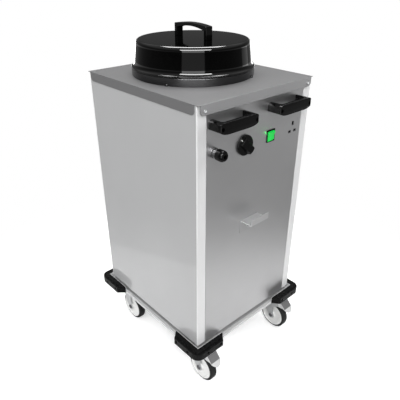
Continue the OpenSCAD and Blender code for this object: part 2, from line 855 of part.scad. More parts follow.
// Corner bumper seen from above: two arms, a round outer corner and slanted ends
module bumper_plan(grow = 0) {
    reach = bumper_t + grow;
    r = bumper_corner_r + grow;
    difference() {
        union() {
            translate([r - reach, r - reach]) circle(r);
            polygon([
                [r - reach, -reach], [bumper_l - bumper_bevel + grow, -reach], [bumper_l + grow, 0],
                [bumper_l + grow, r], [r, bumper_l + grow], [0, bumper_l + grow],
                [-reach, bumper_l - bumper_bevel + grow], [-reach, r - reach]
            ]);
        }
        square(2 * bumper_l);
    }
}

// Raised top of a bumper: it stands back from the outer sides, and its corner is sharp
module bumper_top() {
    reach = bumper_t - bumper_lip_in;
    slant = bumper_bevel * reach / bumper_t + bumper_lip;
    difference() {
        polygon([
            [-reach, -reach], [bumper_l - slant, -reach], [bumper_l - bumper_lip, 0],
            [bumper_l - bumper_lip, bumper_corner_r], [bumper_corner_r, bumper_l - bumper_lip],
            [0, bumper_l - bumper_lip], [-reach, bumper_l - slant]
        ]);
        square(2 * bumper_l);
    }
}

module bumper(sx, sy) difference() {
    at_corner(chassis_w, chassis_d, sx, sy) {
        translate([0, 0, bumper_z]) linear_extrude(bumper_h - bumper_lip) bumper_plan();
        translate([0, 0, bumper_z + bumper_h - bumper_lip])
            linear_extrude(bumper_lip) bumper_top();
    }
    bumper_screw_places() {
        cylinder(r = bumper_screw_r + screw_gap, h = bumper_t + over);
        translate([0, 0, bumper_t - bumper_screw_sink])
            cylinder(r = bumper_screw_head_r + screw_gap, h = bumper_screw_sink + over);
    }
}

module bumper_fl() color(black) bumper(-1, -1);
module bumper_fr() color(black) bumper(1, -1);
module bumper_rl() color(black) bumper(-1, 1);
module bumper_rr() color(black) bumper(1, 1);

module bumper_screws() color(dark) bumper_screw_places() {
    translate([0, 0, -chassis_t - over])
        cylinder(r = bumper_screw_r, h = bumper_t - bumper_screw_sink + chassis_t + 2 * over);
    translate([0, 0, bumper_t - bumper_screw_sink])
        cylinder(r = bumper_screw_head_r, h = bumper_screw_head_h);
}

// Castor mounting plates with a race boss and a kingpin
module at_castor(sx, sy) seat(sx * castor_x, sy * castor_y, 0) children();

module castor_plates() color(zinc)
    for (sx = [-1, 1], sy = [-1, 1]) at_castor(sx, sy) {
        translate([0, 0, castor_h - plate_t]) linear_extrude(plate_t) difference() {
            round_rect(plate_w, plate_l, plate_corner_r);
            bolt_pattern() circle(bolt_r + screw_gap);
        }
        translate([0, 0, castor_h - plate_t - boss_h]) cylinder(r = boss_r, h = boss_h);
        pin_low = head_bottom - gap - kingpin_nut_h;
        translate([0, 0, pin_low]) cylinder(r = kingpin_r, h = castor_h - plate_t - pin_low);
        translate([0, 0, pin_low]) cylinder(r = kingpin_nut_r, h = kingpin_nut_h);
    }

// Bolts from below through each castor plate, with nuts inside the channel
module castor_bolts() color(zinc)
    for (sx = [-1, 1], sy = [-1, 1]) at_castor(sx, sy) bolt_pattern() {
        translate([0, 0, castor_h - plate_t - bolt_head_h])
            cylinder(r = bolt_head_r, h = bolt_head_h, $fn = 6);
        translate([0, 0, castor_h - plate_t - bolt_head_h])
            cylinder(r = bolt_r, h = bolt_head_h + plate_t + channel_t + bolt_nut_h + over);
        translate([0, 0, castor_h + channel_t]) cylinder(r = bolt_head_r, h = bolt_nut_h, $fn = 6);
    }

// Leg of a castor fork seen from the side: it sweeps from the head to the hub
module leg_outline(braked) {
    hub_y = -castor_trail;
    difference() {
        union() {
            translate([hub_y, hub_z]) circle(leg_end_r);
            polygon([
                [hub_y - leg_end_r, hub_z], [-cup_r, hub_z + leg_knee_h], [-cup_r, head_top],
                [leg_shoulder, head_top], [leg_shoulder, head_bottom - leg_web],
                [0, hub_z + leg_knee_h + leg_waist_h], [0, hub_z + leg_knee_h - leg_web],
                [hub_y + leg_end_r, hub_z]
            ]);
            if (braked) {
                translate([pivot_y, pivot_z]) circle(ear_r);
                polygon([
                    [pivot_y, pivot_z - ear_r], [-cup_r, hub_z + leg_knee_h + leg_waist_h],
                    [-cup_r + leg_t, hub_z + leg_knee_h + leg_waist_h],
                    [-cup_r + leg_t, head_top], [pivot_y, pivot_z + ear_r]
                ]);
            }
        }
        translate([hub_y, hub_z]) circle(axle_r + pin_gap);
        if (braked) translate([pivot_y, pivot_z]) circle(pivot_r + pin_gap);
    }
}

module fork(sx, sy, braked) at_castor(sx, sy) difference() {
    union() {
        for (s = [-1, 1]) translate([s * (leg_in + leg_t / 2), 0, 0]) side_view(leg_t) leg_outline(braked);
        translate([0, 0, head_bottom]) cylinder(r = cup_r, h = head_t + cup_h);
    }
    translate([0, 0, head_bottom - over]) cylinder(r = kingpin_r + pin_gap, h = head_t + cup_h + 2 * over);
}

module axle(sx, sy) at_castor(sx, sy) translate([0, -castor_trail, hub_z]) rotate([0, 90, 0]) {
    cylinder(r = axle_r, h = 2 * leg_out + over, center = true);
    for (s = [-1, 1]) translate([0, 0, s * (leg_out + axle_head_h / 2)])
        cylinder(r = axle_head_r, h = axle_head_h, center = true, $fn = 6);
}

// Wheel centre: hub, dished web and a rim that stands out beside the tyre
module wheel(sx, sy) at_castor(sx, sy) translate([0, -castor_trail, hub_z]) rotate([0, 90, 0])
    rotate_extrude() polygon([
        [axle_r + pin_gap, -hub_w / 2], [hub_r, -hub_w / 2], [hub_r + rim_groove, -web_out],
        [rim_r - rim_lip, -web_out], [rim_r - rim_lip + rim_groove, -rim_out],
        [rim_r - rim_groove, -rim_out], [rim_r, -rim_out + rim_groove],
        [rim_r, rim_out - rim_groove], [rim_r - rim_groove, rim_out],
        [rim_r - rim_lip + rim_groove, rim_out], [rim_r - rim_lip, web_out],
        [hub_r + rim_groove, web_out], [hub_r, hub_w / 2], [axle_r + pin_gap, hub_w / 2]
    ]);

// Tyre with rounded shoulders
module tyre(sx, sy) at_castor(sx, sy) translate([0, -castor_trail, hub_z]) rotate([0, 90, 0])
    rotate_extrude() difference() {
        union() {
            translate([rim_r, -tyre_w / 2]) square([tyre_depth - tyre_edge_r, tyre_w]);
            translate([rim_r, -tyre_w / 2 + tyre_edge_r]) square([tyre_depth, tyre_w - 2 * tyre_edge_r]);
            for (s = [-1, 1])
                translate([rim_r + tyre_depth - tyre_edge_r, s * (tyre_w / 2 - tyre_edge_r)])
                    circle(tyre_edge_r);
        }
        translate([0, -rim_out]) square([rim_r, 2 * rim_out]);
    }

// Brake pedal on a pin through the fork: two cheeks, a shoe over the tyre, a bent tread
module pedal_side() {
    translate([pivot_y, pivot_z]) circle(cheek_r);
    polygon([
        [pivot_y, pivot_z - cheek_r], [pedal_bend_y + pedal_t, pedal_bend_z - pedal_t],
        [pedal_top_y, pedal_top_z - pedal_t], [pivot_y, pivot_z + cheek_r]
    ]);
}

// Brake shoe between the cheeks; its nose comes down on the tyre as the pedal is pressed
module pedal_shoe() translate([pivot_y, pivot_z]) polygon([
    [-shoe_back, shoe_heel], [-shoe_back, -shoe_nose], [-shoe_nose, -shoe_drop],
    [0, -shoe_heel], [0, shoe_heel]
]);

module pedal_tread() polygon([
    [pedal_top_y, pedal_top_z], [pedal_bend_y, pedal_bend_z], [pedal_tip_y, pedal_tip_z],
    [pedal_tip_y, pedal_tip_z - pedal_t], [pedal_bend_y + pedal_t / 2, pedal_bend_z - pedal_t],
    [pedal_top_y + pedal_t, pedal_top_z - pedal_t]
]);

module pedal(sx, sy) at_castor(sx, sy) {
    intersection() {
        side_view(pedal_w) pedal_tread();
        linear_extrude(castor_h) union() {
            translate([0, pedal_tip_y + pedal_w / 2]) circle(pedal_w / 2);
            translate([-pedal_w / 2, pedal_tip_y + pedal_w / 2]) square([pedal_w, -pedal_tip_y]);
        }
    }
    for (s = [-1, 1]) translate([s * (cheek_out - cheek_t / 2), 0, 0]) side_view(cheek_t) pedal_side();
    side_view(shoe_w) pedal_shoe();
    translate([0, pivot_y, pivot_z]) rotate([0, 90, 0]) cylinder(r = pivot_r, h = 2 * leg_out, center = true);
}

module fork_fl() color(zinc) fork(-1, -1, true);
module fork_fr() color(zinc) fork(1, -1, true);
module fork_rl() color(zinc) fork(-1, 1, false);
module fork_rr() color(zinc) fork(1, 1, false);
module axle_fl() color(dark) axle(-1, -1);
module axle_fr() color(dark) axle(1, -1);
module axle_rl() color(dark) axle(-1, 1);
module axle_rr() color(dark) axle(1, 1);
module wheel_fl() color(white) wheel(-1, -1);
module wheel_fr() color(white) wheel(1, -1);
module wheel_rl() color(white) wheel(-1, 1);
module wheel_rr() color(white) wheel(1, 1);
module tyre_fl() color(dark) tyre(-1, -1);
module tyre_fr() color(dark) tyre(1, -1);
module tyre_rl() color(dark) tyre(-1, 1);
module tyre_rr() color(dark) tyre(1, 1);
module pedal_fl() color(zinc) pedal(-1, -1);
module pedal_fr() color(zinc) pedal(1, -1);

// Plate platform: a disc with a turned-down rim and a ring of holes
module platform() color(steel) seat(0, tube_y, platform_z) difference() {
    translate([0, 0, -platform_rim]) cylinder(r = platform_r, h = platform_rim);
    translate([0, 0, -platform_rim - over])
        cylinder(r = platform_r - platform_t, h = platform_rim - platform_t + over);
    for (n = [0:5]) rotate(60 * n) translate([platform_hole_ring, 0, 0])
        cylinder(r = platform_hole_r, h = 4 * platform_t, center = true);
}

// Carriage under the platform: a tube and three arms that reach out through the slots
module carriage() color(zinc) seat(0, tube_y, 0) {
    pillar_top = platform_z - platform_t;
    difference() {
        union() {
            translate([0, 0, arm_z]) cylinder(r = pillar_r, h = pillar_top - arm_z);
            translate([0, 0, pillar_top - 2 * pillar_t]) cylinder(r = 2 * pillar_r, h = 2 * pillar_t);
        }
        translate([0, 0, arm_z - over]) cylinder(r = pillar_r - pillar_t, h = pillar_top - arm_z + 2 * over);
    }
    for (a = arm_angles) rotate(a) difference() {
        translate([pillar_r - pillar_t / 2, -arm_w / 2, arm_z]) cube([arm_reach - pillar_r, arm_w, arm_h]);
        translate([spring_ring_r, 0, arm_z - over]) cylinder(r = spring_eye_r, h = arm_h + 2 * over);
    }
}

// Three tension springs from the lugs down to the arms
module lift_springs() color(zinc)
    for (a = arm_angles) seat(0, tube_y, arm_z + arm_h) rotate(a) translate([spring_ring_r - spring_r, 0, 0])
        translate([spring_r, 0, 0]) cylinder(r = spring_r, h = hanger_z - arm_z - arm_h);

// Lid: a foot that flares into a slightly tapered wall, a round shoulder and a flat crown
function lid_outline() = concat(
    [[lid_foot_r, 0], [lid_foot_r, lid_lip_h]],
    arc(lid_foot_r, lid_lip_h + lid_flare_h, lid_foot_r - lid_wall_r, lid_flare_h, 270, 180, lid_arc_steps),
    arc(lid_crown_r, lid_h - lid_shoulder_h, lid_top_r - lid_crown_r, lid_shoulder_h, 0, 90, lid_arc_steps)
);

function lid_inner() = concat(
    arc(lid_crown_r - lid_t, lid_h - lid_shoulder_h, lid_top_r - lid_crown_r, lid_shoulder_h - lid_t,
        90, 0, lid_arc_steps),
    arc(lid_foot_r - lid_t, lid_flare_h, lid_foot_r - lid_wall_r, lid_flare_h - lid_t,
        180, 270, lid_arc_steps),
    [[lid_foot_r - lid_t, 0]]
);

module lid_shell() color(black) seat(0, tube_y, lid_z) difference() {
    rotate_extrude() polygon(concat(lid_outline(), [[0, lid_h], [0, lid_h - lid_t]], lid_inner()));
    lid_screw_places() cylinder(r = lid_screw_r + screw_gap, h = 4 * lid_t, center = true);
}

module lid_screw_places()
    translate([0, 0, lid_h]) rotate(lid_handle_turn)
        for (s = [-1, 1]) translate([s * (lid_handle_l - handle_leg) / 2, 0, 0]) children();

// Arched lid handle: its long view cut by its end view
module lid_handle() color(black) seat(0, tube_y, lid_z) difference() {
    translate([0, 0, lid_h]) rotate(lid_handle_turn) intersection() {
        rotate([90, 0, 0]) linear_extrude(handle_across, center = true) difference() {
            bow(lid_handle_l, lid_handle_h, handle_bow_r);
            bow(lid_handle_l - 2 * handle_leg, lid_handle_h - handle_arch, handle_bow_in_r);
        }
        side_view(lid_handle_l) arch(handle_across, lid_handle_h, handle_edge_r);
    }
    lid_screw_places() translate([0, 0, -over]) cylinder(r = lid_screw_r + screw_gap, h = lid_screw_l + over);
}

// An upright w by h rectangle on the ground line, its upper edge bowed up with radius r
module bow(w, h, r) intersection() {
    translate([-w / 2, 0]) square([w, h]);
    translate([0, h - r]) circle(r, $fn = bow_facets);
}

// An upright w by h rectangle on the ground line, its upper corners round
module arch(w, h, r) {
    translate([-w / 2, 0]) square([w, h - r]);
    translate([-(w / 2 - r), 0]) square([w - 2 * r, h]);
    for (s = [-1, 1]) translate([s * (w / 2 - r), h - r]) circle(r);
}

module lid_screws() color(zinc) seat(0, tube_y, lid_z) lid_screw_places() {
    translate([0, 0, -lid_t - lid_screw_head_h]) cylinder(r = lid_screw_head_r, h = lid_screw_head_h);
    translate([0, 0, -lid_t - over]) cylinder(r = lid_screw_r, h = lid_t + lid_screw_l);
}

// Thermostat knob: a round skirt and a wedge-shaped grip bar, low at the end that points
module knob() color(black) on_front(knob_x, control_z) translate([0, 0, gap]) difference() {
    rotate(knob_turn) union() {
        rotate_extrude() polygon([
            [0, 0], [knob_r, 0], [knob_r, knob_skirt - knob_edge],
            [knob_r - knob_edge, knob_skirt], [0, knob_skirt]
        ]);
        intersection() {
            rotate_extrude() polygon([
                [0, 0], [knob_r, 0], [knob_r - knob_bar_end, knob_l - knob_edge],
                [knob_r - knob_bar_end - knob_edge, knob_l], [0, knob_l]
            ]);
            side_view(2 * knob_r) polygon([
                [-knob_bar_w / 2, 0], [knob_bar_w / 2, 0],
                [knob_bar_top_w / 2, knob_l], [-knob_bar_top_w / 2, knob_l]
            ]);
            rotate([90, 0, 0]) linear_extrude(2 * knob_r, center = true) polygon([
                [-knob_r, 0], [knob_r, 0], [knob_r, knob_low], [-knob_r / 2, knob_l], [-knob_r, knob_l]
            ]);
        }
    }
    translate([0, 0, -over]) cylinder(r = spindle_r + pin_gap, h = spindle_grip + over);
}

// Spindle of the thermostat, which turns with the knob
module knob_spindle() color(zinc) seat(knob_x, inner_y + spindle_in, control_z) rotate([90, 0, 0])
    cylinder(r = spindle_r, h = spindle_in + sheet_t + gap + spindle_grip - over);

chassis();
cross_channels();
plinth_rails();
corner_posts();
side_left();
side_right();
rear_panel();
front_panel();
top_plate();
top_screws();
tube_collar();
dispenser_tube();
tube_base();
plate_guides();
heater();
spring_ring();
thermostat();
switch_housing();
plug_park();
gland_body();
gland_nut();
cable_hook();
handle_left();
handle_right();
panel_fixings();
bumper_fl();
bumper_fr();
bumper_rl();
bumper_rr();
bumper_screws();
castor_plates();
castor_bolts();
fork_fl();
axle_fl();
wheel_fl();
tyre_fl();
pedal_fl();
fork_fr();
axle_fr();
wheel_fr();
tyre_fr();
pedal_fr();
fork_rl();
axle_rl();
wheel_rl();
tyre_rl();
fork_rr();
axle_rr();
wheel_rr();
tyre_rr();
platform();
carriage();
lift_springs();
lid_shell();
lid_handle();
lid_screws();
knob();
knob_spindle();
rocker();
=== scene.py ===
import math

import bmesh
import bpy
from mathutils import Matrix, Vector


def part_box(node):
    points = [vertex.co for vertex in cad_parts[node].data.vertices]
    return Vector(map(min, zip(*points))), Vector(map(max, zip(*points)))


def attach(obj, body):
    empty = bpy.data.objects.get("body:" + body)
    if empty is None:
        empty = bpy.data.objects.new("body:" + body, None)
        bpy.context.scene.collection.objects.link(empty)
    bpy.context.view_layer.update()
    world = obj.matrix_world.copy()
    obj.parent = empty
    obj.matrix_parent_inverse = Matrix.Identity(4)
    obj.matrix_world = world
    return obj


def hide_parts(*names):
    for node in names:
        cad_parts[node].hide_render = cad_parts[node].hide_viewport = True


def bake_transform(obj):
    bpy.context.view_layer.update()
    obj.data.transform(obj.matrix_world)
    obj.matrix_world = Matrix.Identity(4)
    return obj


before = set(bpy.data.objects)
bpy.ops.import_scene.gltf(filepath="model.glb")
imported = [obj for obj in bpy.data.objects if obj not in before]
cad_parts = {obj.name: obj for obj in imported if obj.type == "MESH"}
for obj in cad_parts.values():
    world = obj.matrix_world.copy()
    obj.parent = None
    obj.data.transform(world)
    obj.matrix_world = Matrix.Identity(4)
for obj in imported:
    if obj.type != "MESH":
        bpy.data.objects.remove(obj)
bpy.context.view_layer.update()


# Camera: stands front left of the cart and looks down on it, as the photograph's does.
# Its place, turn and lens come from lines of the cart that run square to each other.
camera_spot, camera_tilt, camera_yaw = (-0.8326, -0.91715, 1.1584), 61.564, -42.165
camera_turn = (math.radians(camera_tilt), 0, math.radians(camera_yaw))
bpy.ops.object.camera_add(location=camera_spot, rotation=camera_turn)
camera = bpy.context.object
camera.data.lens, camera.data.sensor_width = 39.907, 36
bpy.context.scene.camera = camera


# Chassis: a tray folded from 1.5 mm satin stainless sheet, its rim turned down all round and
# its corners turned up behind the bumpers. Two zinc plated channels are welded under it.
class Shade:
    """One output of a material's nodes. A sum on it adds the Math node that works it out."""

    def __init__(self, tree, socket):
        self.tree, self.socket = tree, socket

    def node(self, kind, settings={}, sockets={}, out=0):
        """One output of a new node, whose sockets are given plain values or linked to other outputs."""
        made = self.tree.nodes.new("ShaderNode" + kind)
        for name, value in settings.items():
            setattr(made, name, value)
        for name, value in sockets.items():
            if isinstance(value, Shade):
                self.tree.links.new(value.socket, made.inputs[name])
            else:
                made.inputs[name].default_value = value
        return Shade(self.tree, made.outputs[out])

    def reckon(self, operation, *values):
        return self.node("Math", {"operation": operation}, dict(enumerate(values)))

    def __add__(self, other):
        return self.reckon("ADD", self, other)

    def __radd__(self, other):
        return self.reckon("ADD", other, self)

    def __sub__(self, other):
        return self.reckon("SUBTRACT", self, other)

    def __rsub__(self, other):
        return self.reckon("SUBTRACT", other, self)

    def __mul__(self, other):
        return self.reckon("MULTIPLY", self, other)

    def __rmul__(self, other):
        return self.reckon("MULTIPLY", other, self)

    def part(self, axis):
        """This place's or direction's X, Y or Z."""
        return self.node("SeparateXYZ", {}, {"Vector": self}, out=axis)

    def smooth(self, start, end, low=0.0, high=1.0):
        """A soft step from low to high as this goes from start to end."""
        return self.node("MapRange", {"interpolation_type": "SMOOTHSTEP"},
            {"Value": self, "From Min": start, "From Max": end, "To Min": low, "To Max": high})

    def times(self, factor):
        """This colour with its three parts multiplied by a factor."""
        return self.node("VectorMath", {"operation": "SCALE"}, {0: self, "Scale": factor})

    def mix(self, low, high):
        """The colour low where this is 0, high where it is 1."""
        return self.node("Mix", {"data_type": "RGBA"}, {0: self, 6: (*low, 1), 7: (*high, 1)}, out=2)

    def grain(self, scale, detail=2.0):
        """Cloudy noise from 0 to 1 at this place, with scale clouds to a metre along X, Y and Z."""
        stretched = self.node("VectorMath", {"operation": "MULTIPLY"}, {0: self, 1: scale})
        return self.node("TexNoise", {}, {"Vector": stretched, "Scale": 1.0, "Detail": detail})

    def bump(self, strength, depth):
        """The normal of a surface that this raises by up to depth metres."""
        return self.node("Bump", {}, {"Strength": strength, "Distance": depth, "Height": self})


def start_finish(name, **plain):
    """A new material with plain values on its shader's sockets, and the place on the piece as a Shade."""
    finish = bpy.data.materials.new(name)
    finish.use_nodes = True
    tree = finish.node_tree
    for socket, value in plain.items():
        tree.nodes["Principled BSDF"].inputs[socket.replace("_", " ")].default_value = value
    return finish, Shade(tree, tree.nodes.new("ShaderNodeTexCoord").outputs["Object"])


def lay_on(finish, **fields):
    """Links what changes over the surface to the shader's sockets."""
    shader = finish.node_tree.nodes["Principled BSDF"]
    for socket, field in fields.items():
        finish.node_tree.links.new(field.socket, shader.inputs[socket.replace("_", " ")])


def brushed(name, scratch, tone, roughness):
    """Satin sheet metal: fine scratches along the axis where scratch is least, and faint cloudy wear."""
    finish, at = start_finish(name, Metallic=1.0)
    scratches = at.grain(scratch, 3)
    clouds = at.grain((7, 7, 7), 2)
    wear = scratches * 0.5 + clouds * 0.5
    lay_on(finish,
        Base_Color=wear.mix([t * 0.93 for t in tone], [min(1, t * 1.07) for t in tone]),
        Roughness=wear * 0.12 + (roughness - 0.06),
        Normal=scratches.bump(0.05, 0.0002))
    return finish


def clear():
    """Back to object mode with nothing selected."""
    if bpy.context.object and bpy.context.object.mode != "OBJECT":
        bpy.ops.object.mode_set(mode="OBJECT")
    bpy.ops.object.select_all(action="DESELECT")


def take(piece):
    """Makes the piece the only one selected, and the active one."""
    clear()
    piece.select_set(True)
    bpy.context.view_layer.objects.active = piece


def pick(kind, test):
    """In edit mode, selects only the faces or edges whose corners and middle, in millimetres, pass."""
    bpy.ops.mesh.select_mode(type=kind)
    bpy.ops.mesh.select_all(action="DESELECT")
    data = bpy.context.object.data
    mesh = bmesh.from_edit_mesh(data)
    for part in {"FACE": mesh.faces, "EDGE": mesh.edges}[kind]:
        corners = [v.co * 1000 for v in part.verts]
        corners.append(sum(corners, Vector()) / len(corners))
        if all(test(c) for c in corners):
            part.select_set(True)
    bmesh.update_edit_mesh(data)


def rounded(piece, width, steps=2, angle=35):
    """Rounds every edge sharper than angle by width millimetres, and shades the piece smooth."""
    take(piece)
    edge = piece.modifiers.new("edge", "BEVEL")
    edge.width, edge.segments = width / 1000, steps
    edge.limit_method, edge.angle_limit = "ANGLE", math.radians(angle)
    bpy.ops.object.modifier_apply(modifier="edge")
    bpy.ops.object.shade_smooth_by_angle(angle=math.radians(40))
    piece.modifiers.new("light", "WEIGHTED_NORMAL").keep_sharp = True
    bpy.ops.object.modifier_apply(modifier="light")
    return piece


def merged(node):
    """A copy of a CAD node with its loose triangles joined into whole faces."""
    piece = bpy.data.objects.new(node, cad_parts[node].data.copy())
    bpy.context.scene.collection.objects.link(piece)
    take(piece)
    bpy.ops.mesh.customdata_custom_splitnormals_clear()
    bpy.ops.object.mode_set(mode="EDIT")
    bpy.ops.mesh.select_all(action="SELECT")
    bpy.ops.mesh.remove_doubles(threshold=1e-6)
    bpy.ops.mesh.dissolve_limited(angle_limit=math.radians(1))
    bpy.ops.object.mode_set(mode="OBJECT")
    return piece


def middle(node):
    """The middle of a CAD node's box, in millimetres."""
    low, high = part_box(node)
    return (low + high) * 500


def settle(piece, name, finish, slot, body, *nodes):
    """Names a finished piece, gives it its finish and puts it on its body in place of its CAD nodes."""
    piece.name = piece.data.name = name
    piece.data.materials.clear()
    piece.data.materials.append(finish)
    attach(piece, body)
    if nodes:
        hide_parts(*nodes)
    return piece


def painted(node, finish):
    """Gives a CAD node that stays in sight its finish."""
    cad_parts[node].data.materials.clear()
    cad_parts[node].data.materials.append(finish)


tray_steel, at = start_finish("tray_steel", Metallic=0.25, IOR=1.5)
scratches = at.grain((20, 900, 900), 3)
lay_on(tray_steel,
    Base_Color=scratches.mix((0.5, 0.502, 0.505), (0.56, 0.562, 0.565)),
    Roughness=scratches * 0.14 + 0.34,
    Normal=scratches.bump(0.05, 0.0002))
zinc, at = start_finish("zinc_plate", Metallic=1.0)
spangle = at.grain((260, 260, 260), 2)
lay_on(zinc,
    Base_Color=spangle.mix((0.5, 0.51, 0.52), (0.66, 0.67, 0.67)),
    Roughness=spangle * 0.18 + 0.22,
    Normal=spangle.bump(0.04, 0.0003))
settle(rounded(merged("chassis"), 0.5), "chassis_tray", tray_steel, "steel", "cabinet", "chassis")
painted("cross_channels", zinc)


# Plinth: four rails folded from sheet that stand back between the tray and the panels, so
# that the cabinet seems to float above the chassis.
# Painted shade: the rails are a darker copy of the tray's steel, for the shade in the recess they stand in.
plinth_steel_painted_shade, at = start_finish("plinth_steel_painted_shade", Metallic=0.25, IOR=1.5)
scratches = at.grain((30, 30, 700), 3)
lay_on(plinth_steel_painted_shade,
    Base_Color=scratches.mix((0.3, 0.3, 0.303), (0.36, 0.36, 0.363)),
    Roughness=scratches * 0.12 + 0.32)
painted("plinth_rails", plinth_steel_painted_shade)


# Corner posts: pressed from light satin sheet, with a round outer corner. A joggle in each takes
# the side panel and a return takes the front or rear panel.
post_satin, at = start_finish("post_satin", Metallic=0.0, IOR=1.45)
rolled = at.grain((500, 500, 8), 3)
lay_on(post_satin,
    Base_Color=rolled.mix((0.64, 0.642, 0.645), (0.7, 0.702, 0.705)),
    Roughness=rolled * 0.12 + 0.3,
    Normal=rolled.bump(0.03, 0.0002))
settle(rounded(merged("corner_posts"), 0.3), "corner_post_set", post_satin,
    "post_steel", "cabinet", "corner_posts")


# Side panels: sheet with a smooth light grey coat, set between the posts. They mirror the floor
# and the bumpers faintly.
side_coat, at = start_finish("side_panel_coat", Metallic=0.0, IOR=1.85)
peel = at.grain((420, 420, 420), 1)
clouds = at.grain((5, 5, 3), 2)
lay_on(side_coat,
    Base_Color=clouds.mix((0.352, 0.354, 0.357), (0.388, 0.39, 0.393)),
    Roughness=peel * 0.03 + 0.05,
    Normal=peel.bump(0.008, 0.0002))
painted("side_left", side_coat)
painted("side_right", side_coat)


# Front and rear panels: satin stainless sheet, ground from side to side, with folded returns
# behind the posts. The front one is cut for the handles, controls, gland and hook.
panel_steel = brushed("panel_steel", (18, 900, 900), (0.505, 0.505, 0.51), 0.36)
painted("front_panel", panel_steel)
painted("rear_panel", panel_steel)


# Top plate: one sheet of satin stainless steel with its four skirts folded down. Each skirt stops
# short of the corners with a round lower end. The front and rear ones are screwed to the posts,
# and are painted lighter than the side ones by the way they face: a painted sheen.
top_steel, at = start_finish("top_steel", Metallic=0.2, IOR=1.3)
scratches = at.grain((18, 900, 900), 3)
clouds = at.grain((6, 6, 6), 2)
# Painted sheen: faces turned to the front or rear are painted up to 1.9 times lighter.
painted_sheen_facing = at.node("TexCoord", out="Normal").part("Y")
tone = (scratches * 0.6 + clouds * 0.4).mix((0.13, 0.13, 0.132), (0.156, 0.156, 0.158))
lay_on(top_steel,
    Base_Color=tone.times(1 + 0.9 * painted_sheen_facing * painted_sheen_facing),
    Roughness=scratches * 0.12 + 0.4,
    Normal=scratches.bump(0.05, 0.0002))
top = merged("top_plate")
top_low, top_high = [corner * 1000 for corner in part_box("top_plate")]
hair, fold_r = 0.05, 1.1
bpy.ops.object.mode_set(mode="EDIT")
pick("EDGE", lambda p: p.z > top_high.z - hair and (
    abs(p.x) > top_high.x - hair or p.y > top_high.y - hair or p.y < top_low.y + hair))
bpy.ops.mesh.bevel(offset=fold_r / 1000, segments=4, profile=0.5, affect="EDGES")
bpy.ops.object.mode_set(mode="OBJECT")
settle(rounded(top, 0.25), "top_sheet", top_steel, "steel", "cabinet", "top_plate")


# Skirt screws: zinc plated pan heads with a round socket, one at each end of the front and rear
# skirts. One head is turned and the others are copies of it.
def set_down(piece, spot=(0, 0, 0), turn=(0, 0, 0)):
    """Turns a piece by degrees, moves it by millimetres and leaves its object at the origin."""
    take(piece)
    piece.rotation_euler = [math.radians(t) for t in turn]
    piece.location = Vector(spot) / 1000
    bpy.ops.object.transform_apply(location=True, rotation=True, scale=True)
    return piece


def drum(radius, length, spot=(0, 0, 0), sides=32):
    """A round blank standing on spot, for a head, a pin or a drill."""
    clear()
    bpy.ops.mesh.primitive_cylinder_add(vertices=sides, radius=radius / 1000, depth=length / 1000,
        location=(spot[0] / 1000, spot[1] / 1000, (spot[2] + length / 2) / 1000))
    bpy.ops.object.transform_apply()
    return bpy.context.object


def pan_head(radius, height, socket):
    """A screw's head lying on Z = 0, domed at its edge and with a socket sunk in it."""
    head = drum(radius, height, sides=28)
    bpy.ops.object.mode_set(mode="EDIT")
    pick("FACE", lambda p: p.z > height - 0.01)
    bpy.ops.mesh.inset(thickness=(radius - socket) / 1000)
    sink = 0.55 * height / 1000
    bpy.ops.mesh.extrude_region_move(TRANSFORM_OT_translate={"value": (0, 0, -sink)})
    bpy.ops.object.mode_set(mode="OBJECT")
    return rounded(head, height * 0.4, 3)


def again(piece):
    """A copy of a piece with a mesh of its own."""
    copy = bpy.data.objects.new(piece.name, piece.data.copy())
    bpy.context.scene.collection.objects.link(copy)
    return copy


def joined(pieces):
    """Several pieces as one."""
    take(pieces[0])
    for piece in pieces[1:]:
        piece.select_set(True)
    bpy.ops.object.join()
    return bpy.context.object


screw_x, screw_z = 188.5, middle("top_screws").z
head = pan_head(radius=4, height=2, socket=2.3)
heads = [set_down(again(head), (x, y, screw_z), (90, 0, turn))
    for x in (-screw_x, screw_x) for y, turn in ((top_low.y, 0), (top_high.y, 180))]
bpy.data.objects.remove(head)
settle(joined(heads), "skirt_screws", zinc, "zinc", "cabinet", "top_screws")


# Collar: a ring pressed from dark sheet round the tube's mouth, which the lid stands on. Four
# small lugs at its foot hold it to the top plate.
def trace(points):
    """A new piece in edit mode: a plane merged to a point and extruded along the points, in millimetres."""
    clear()
    spots = [Vector(p) / 1000 for p in points]
    bpy.ops.mesh.primitive_plane_add(size=0.01, location=spots[0])
    bpy.ops.object.transform_apply()
    bpy.ops.object.mode_set(mode="EDIT")
    bpy.ops.mesh.select_mode(type="VERT")
    bpy.ops.mesh.select_all(action="SELECT")
    bpy.ops.mesh.merge(type="CENTER")
    for here, there in zip(spots, spots[1:]):
        bpy.ops.mesh.extrude_vertices_move(TRANSFORM_OT_translate={"value": there - here})
    bpy.ops.mesh.select_all(action="SELECT")
    return bpy.context.object


def turned(profile, steps):
    """A piece turned on a lathe about Z, from its closed profile of radii and heights in millimetres."""
    piece = trace([(r, 0, h) for r, h in profile])
    bpy.ops.mesh.edge_face_add()
    bpy.ops.mesh.delete(type="ONLY_FACE")
    bpy.ops.mesh.select_all(action="SELECT")
    bpy.ops.mesh.spin(steps=steps, angle=2 * math.pi, center=(0, 0, 0), axis=(0, 0, 1))
    bpy.ops.mesh.select_all(action="SELECT")
    bpy.ops.mesh.remove_doubles(threshold=1e-6)
    bpy.ops.mesh.dissolve_degenerate(threshold=1e-6)
    bpy.ops.mesh.select_all(action="SELECT")
    bpy.ops.mesh.normals_make_consistent(inside=False)
    bpy.ops.object.mode_set(mode="OBJECT")
    return piece


